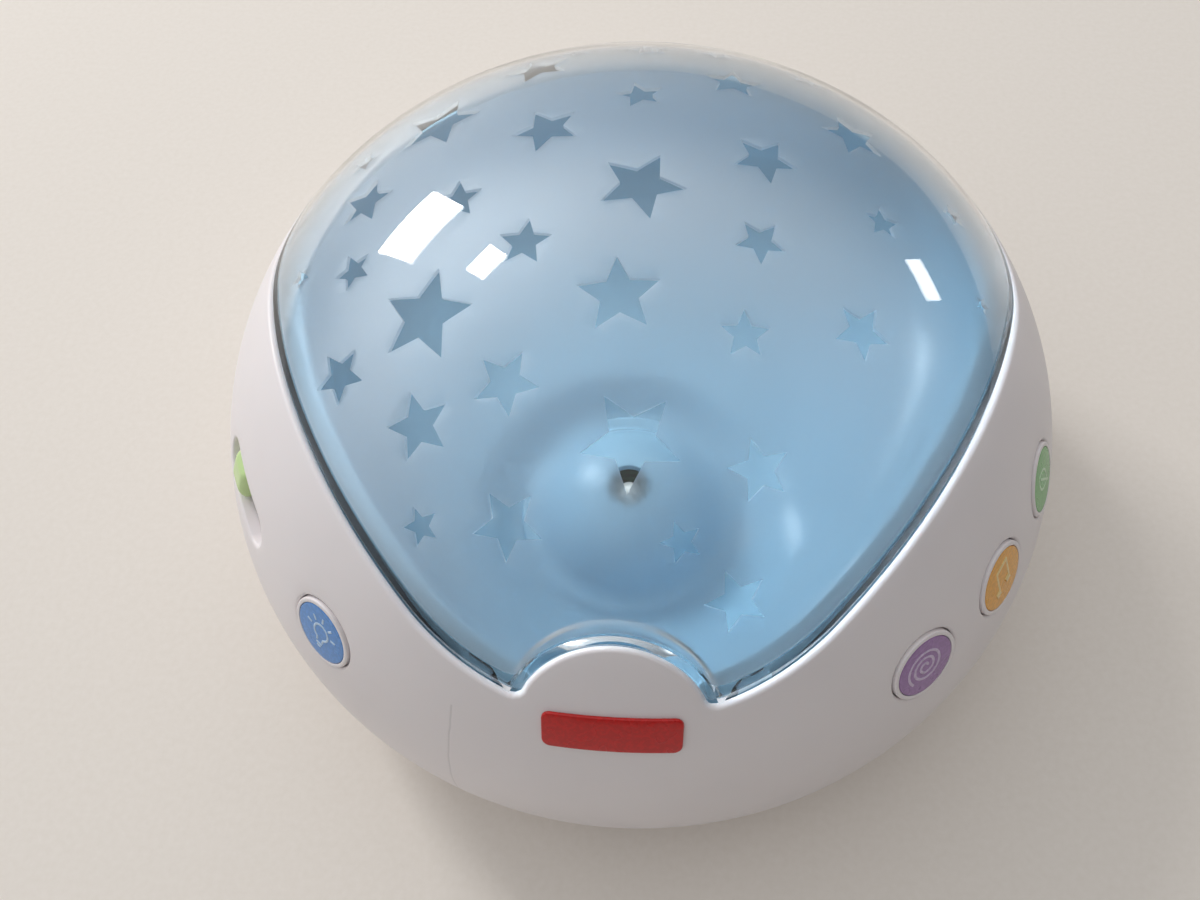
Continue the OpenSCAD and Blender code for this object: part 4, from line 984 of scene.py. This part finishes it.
LEAF_TURN = np.array(((math.cos(0.6), math.sin(0.6)), (-math.sin(0.6), math.cos(0.6))))
LINE_HALF = 0.27
ICONS = {
    "light": [
        (LINE_HALF, np.vstack(([(-0.8, -2.6)], arc(2.0, 245, -65, (0, 0.2), 40), [(0.8, -2.6)]))),
        (LINE_HALF, np.array([(-0.85, -3.2), (0, -3.25), (0.85, -3.2)])),
        (LINE_HALF, np.array([(-0.55, -3.95), (0, -4.0), (0.55, -3.95)])),
        *[(LINE_HALF, ray(angle, 2.9, 4.2, (0, 0.2))) for angle in (10, 50, 90, 130, 170)],
    ],
    "swirl": [(0.3, spiral(0.5, 4.4, 2.6))],
    "music": [
        (LINE_HALF, np.array([(-1.5, -2.4), (-1.5, 0.4), (-1.5, 3.0)])),
        (LINE_HALF, np.array([(2.3, -1.6), (2.3, 1.0), (2.3, 3.8)])),
        (0.45, np.array([(-1.7, 3.0), (0.4, 3.42), (2.5, 3.85)])),
        (0.75, np.array([(-2.9, -2.75), (-2.2, -2.6), (-1.5, -2.45)])),
        (0.75, np.array([(0.9, -1.95), (1.6, -1.8), (2.3, -1.65)])),
    ],
    "nature": [
        (LINE_HALF, leaf_side(2.1)),
        (LINE_HALF, leaf_side(-2.1)),
        (LINE_HALF, np.array([(0, -4.6), (0, -1.0), (0, 2.4)]) @ LEAF_TURN),
        *[
            (0.2, np.array([(0, y), (0.6 * s, y + 0.45), (1.2 * s, y + 0.9)]) @ LEAF_TURN)
            for y in (-1.8, -0.2)
            for s in (-1, 1)
        ],
    ],
}


def build_icon(name, place, axes, material):
    """The picture on a button disc, in raised ink lines."""
    upright = np.array((axes[1], -axes[0], axes[2]))
    pieces = []
    for number, (half, line) in enumerate(ICONS[name]):
        path = np.column_stack((line, np.zeros(len(line))))
        piece = grown(f"{name}_icon_{number}", raised_line, {"Half width": half * MM}, material, path)
        move_mesh(piece, place + axes[2] * CAP_PROUD, upright)
        pieces.append(piece)
    icon = join(pieces, name + "_icon")
    crisp(icon.data, INK_CREASE)
    keep(icon, name + "_key", "white_plastic")


def join(pieces, name):
    """One mesh object out of several at the origin."""
    shape = bmesh.new()
    for piece in pieces:
        shape.from_mesh(piece.data)
    mesh = bpy.data.meshes.new(name)
    shape.to_mesh(mesh)
    shape.free()
    mesh.materials.append(pieces[0].data.materials[0])
    for piece in pieces:
        bpy.data.objects.remove(piece)
    return stand(name, mesh)


def prism(name, outline, levels, material, place, axes):
    """A block from a counter-clockwise outline, drawn in and set at each level from the bottom up."""
    shell = Shell()
    half = np.array((*outline.max(0)[:2], math.inf))
    rings = [shell.ring(local(place, axes, outline * (1 - inset / half) + UP * z)) for inset, z in levels]
    for lower, upper in zip(rings, rings[1:]):
        shell.strip(upper[::-1], lower[::-1])
    shell.faces.append(rings[-1])
    shell.faces.append(rings[0][::-1])
    return shell.piece(name, material)


def build_knob():
    """Green slide knob: a smooth hump on a stem."""
    place, axes = spot(SLOT_AZ, CONTROL_EL)
    place = place - axes[1] * KNOB_REST
    half = np.array((KNOB_W / 2, KNOB_L / 2, 0))
    outline = even(np.clip(circle(KNOB_WIDEST, 120), -half, half), 0.3, 4)
    bend = np.radians(np.linspace(0, 90, 10))
    top = [(KNOB_ROUND * (1 - math.cos(b)), KNOB_PROUD + KNOB_ROUND * (math.sin(b) - 1)) for b in bend]
    green = FINISHES["knob_green"]
    block = prism("knob_block", outline, [(0.0, KNOB_LOW), *top], green, place, axes)
    stem = prism("knob_stem", STEM_SQUARE, [(0.0, KNOB_STEM_LOW), (0.0, KNOB_STEM_TOP)], green, place, axes)
    knob = join([block, stem], "knob")
    crisp(knob.data, CREASE)
    keep(knob, "volume_slider", "knob_green", "volume_knob")


def build_badge():
    """Plain red plate on the tongue."""
    place, axes = spot(0, TONGUE_EL)
    quarter = circle(BADGE_CORNER, 96)
    middle = np.array((BADGE_W / 2 - BADGE_CORNER, BADGE_L / 2 - BADGE_CORNER, 0.0))
    outline = even(quarter + np.where(quarter >= 0, middle, -middle), 0.4)
    shell = Shell()
    loop = drop(local(place, axes, outline), axes[2], -BADGE_TOP)
    walls = np.tile(-axes[2], (len(loop), 1))
    rings = rounded(loop, left_of(loop), walls, BADGE_ROUND, -BADGE_TOP)
    first, last = shell.strips([*rings, drop(loop, axes[2], -BADGE_LOW)])
    shell.patch(-BADGE_TOP, [first], BADGE_STEP)
    shell.patch(-BADGE_LOW, [last], BADGE_UNDER, under=True)
    keep(shell.piece("badge_plate", FINISHES["badge_red"]), "case", "badge_red", "front_badge")


def build_turret():
    """Round lamp pod with its flange and the hole for the lamp."""
    ball = (TURRET_R**2 + TURRET_H**2) / (2 * TURRET_H)
    centre = TRAY_FLOOR + TURRET_H - ball
    start = math.acos(LAMP_HOLE_R / ball)
    bend = np.linspace(start - 0.04, math.asin((TRAY_FLOOR + SKIRT_LIFT - centre) / ball), 26)
    over = [(ball * math.cos(b), centre + ball * math.sin(b)) for b in bend]
    small = ball - TURRET_T
    back = np.linspace(math.asin((TRAY_FLOOR - centre) / small), math.acos(LAMP_HOLE_R / small), 20)
    inner = [(small * math.cos(b), centre + small * math.sin(b)) for b in back]
    foot = TURRET_R + TURRET_FLANGE
    skirt = corner(
        [
            over[-1],
            (TURRET_R - 0.2, TRAY_FLOOR + TURRET_T, SKIRT_ROUND),
            (foot, TRAY_FLOOR + TURRET_T, FLANGE_ROUND),
            (foot, TRAY_FLOOR),
            inner[0],
        ]
    )
    lip = corner([inner[-1], (LAMP_HOLE_R, centre + ball * math.sin(start), LIP_ROUND), over[0]])
    profile = [*over, *skirt[1:-1], *inner, *lip[1:-1]]
    pod = lathe("lamp_pod", profile, FINISHES["pale_blue"], np.array((0, -TURRET_Y, 0)), count=128)
    keep(pod, "case", "pale_blue", "lamp_turret")


def build_tray():
    """Light-blue bowl under the screen, a sheet of even thickness."""
    sizes = {
        "Steps round": 288,
        "Fillet": TRAY_FILLET * MM,
        "Wall inset": TRAY_IN * MM,
        "Edge round": TRAY_EDGE * MM,
        "Floor": TRAY_FLOOR * MM,
        "Shelf lift": SHELF_LIFT * MM,
    }
    bowl = grown("tray_bowl", tray_bowl, sizes, FINISHES["pale_blue"], thickness=TRAY_T * MM)
    crisp(bowl.data, CREASE)
    keep(bowl, "case", "pale_blue", "reflector_tray")


keep(build_housing(), "case", "white_plastic", "upper_housing")
keep(build_dome(), "case", "clear_plastic", "clear_dome")
keep(build_screen(), "case", "frosted_blue", "star_screen")
build_tray()
build_turret()
build_badge()
build_knob()
for name, (az, slot_name) in BUTTONS.items():
    build_button(name, az, slot_name)

# Stage: floor, window-like lamps and the camera
floor_mesh = bpy.data.meshes.new("floor")
floor_mesh.from_pydata([(-4, -4, 0), (4, -4, 0), (4, 4, 0), (-4, 4, 0)], [], [(0, 1, 2, 3)])
floor = stand("floor", floor_mesh)


def floor_paper(graph, place):
    fibre = graph.noise(place, 600.0, 3.0)
    base = graph.blend(fibre, srgb(232, 224, 214), srgb(240, 233, 225))
    return graph.surface(base_color=base, roughness=0.9)


floor_mesh.materials.append(finish("floor_paper", floor_paper))

# Soft room light that fades from a bright side, before a plain pale backdrop
BRIGHT_SIDE = (-0.44, 0.36, 0.82)
ROOM_DIM, ROOM_BRIGHT, BACKDROP = (0.06, 0.057, 0.055), (0.82, 0.825, 0.835), (0.70, 0.67, 0.63)
world = bpy.data.worlds.new("soft_room")
scene.world = world
world.use_nodes = True
world.node_tree.nodes.clear()
room = Graph(world.node_tree)
sky = room.node("ShaderNodeTexCoord", out="Generated")
ways = {0: sky, 1: BRIGHT_SIDE}
across = room.node("ShaderNodeVectorMath", {"operation": "DOT_PRODUCT"}, ways, out="Value")
light = room.blend(across.ramp(-0.3, 1.0), ROOM_DIM, ROOM_BRIGHT)
glow = room.node("ShaderNodeBackground", None, {0: light, 1: 1.0})
seen = room.node("ShaderNodeLightPath", out="Is Camera Ray")
backdrop = room.node("ShaderNodeBackground", None, {0: (*BACKDROP, 1), 1: 1.0})
shown = room.node("ShaderNodeMixShader", None, {0: seen, 1: glow, 2: backdrop})
room.node("ShaderNodeOutputWorld", None, {0: shown})

LAMP_AIM, LAMP_AWAY = Vector((-0.03, 0.0, 0.105)), 1.5


def window_lamp(name, az, el, width, height, radiance):
    """A soft rectangular lamp that faces the dome, by direction from the front and elevation."""
    way = Vector(axes_at(math.radians(az), math.radians(el))[1][2])
    lamp = bpy.data.lights.new(name, "AREA")
    lamp.shape, lamp.size, lamp.size_y = "RECTANGLE", width, height
    lamp.energy = radiance * math.pi * width * height
    facing = way.to_track_quat("Z", "Y").to_matrix().to_4x4()
    stand(name, lamp).matrix_world = Matrix.Translation(LAMP_AIM + way * LAMP_AWAY) @ facing


window_lamp("window_pane", -134, 25, 0.37, 0.27, 26.0)
window_lamp("window_top", -134, 46, 0.18, 0.14, 26.0)
window_lamp("side_pane", 124, 17, 0.20, 0.10, 8.0)

# Camera at the photograph's place
EYE = Vector((6.0, -119.6, 250.1)) * MM
RIGHT = Vector((0.9973971, 0.06441837, -0.03239304))
TOP = Vector((-0.0425065, 0.88819091, 0.45750421))
lens = bpy.data.cameras.new("camera")
lens.lens, lens.sensor_width = 30.0, 36.0
camera = stand("camera", lens)
turned = Matrix((RIGHT, TOP, RIGHT.cross(TOP))).transposed().to_4x4()
camera.matrix_world = Matrix.Translation(EYE) @ turned
scene.camera = camera
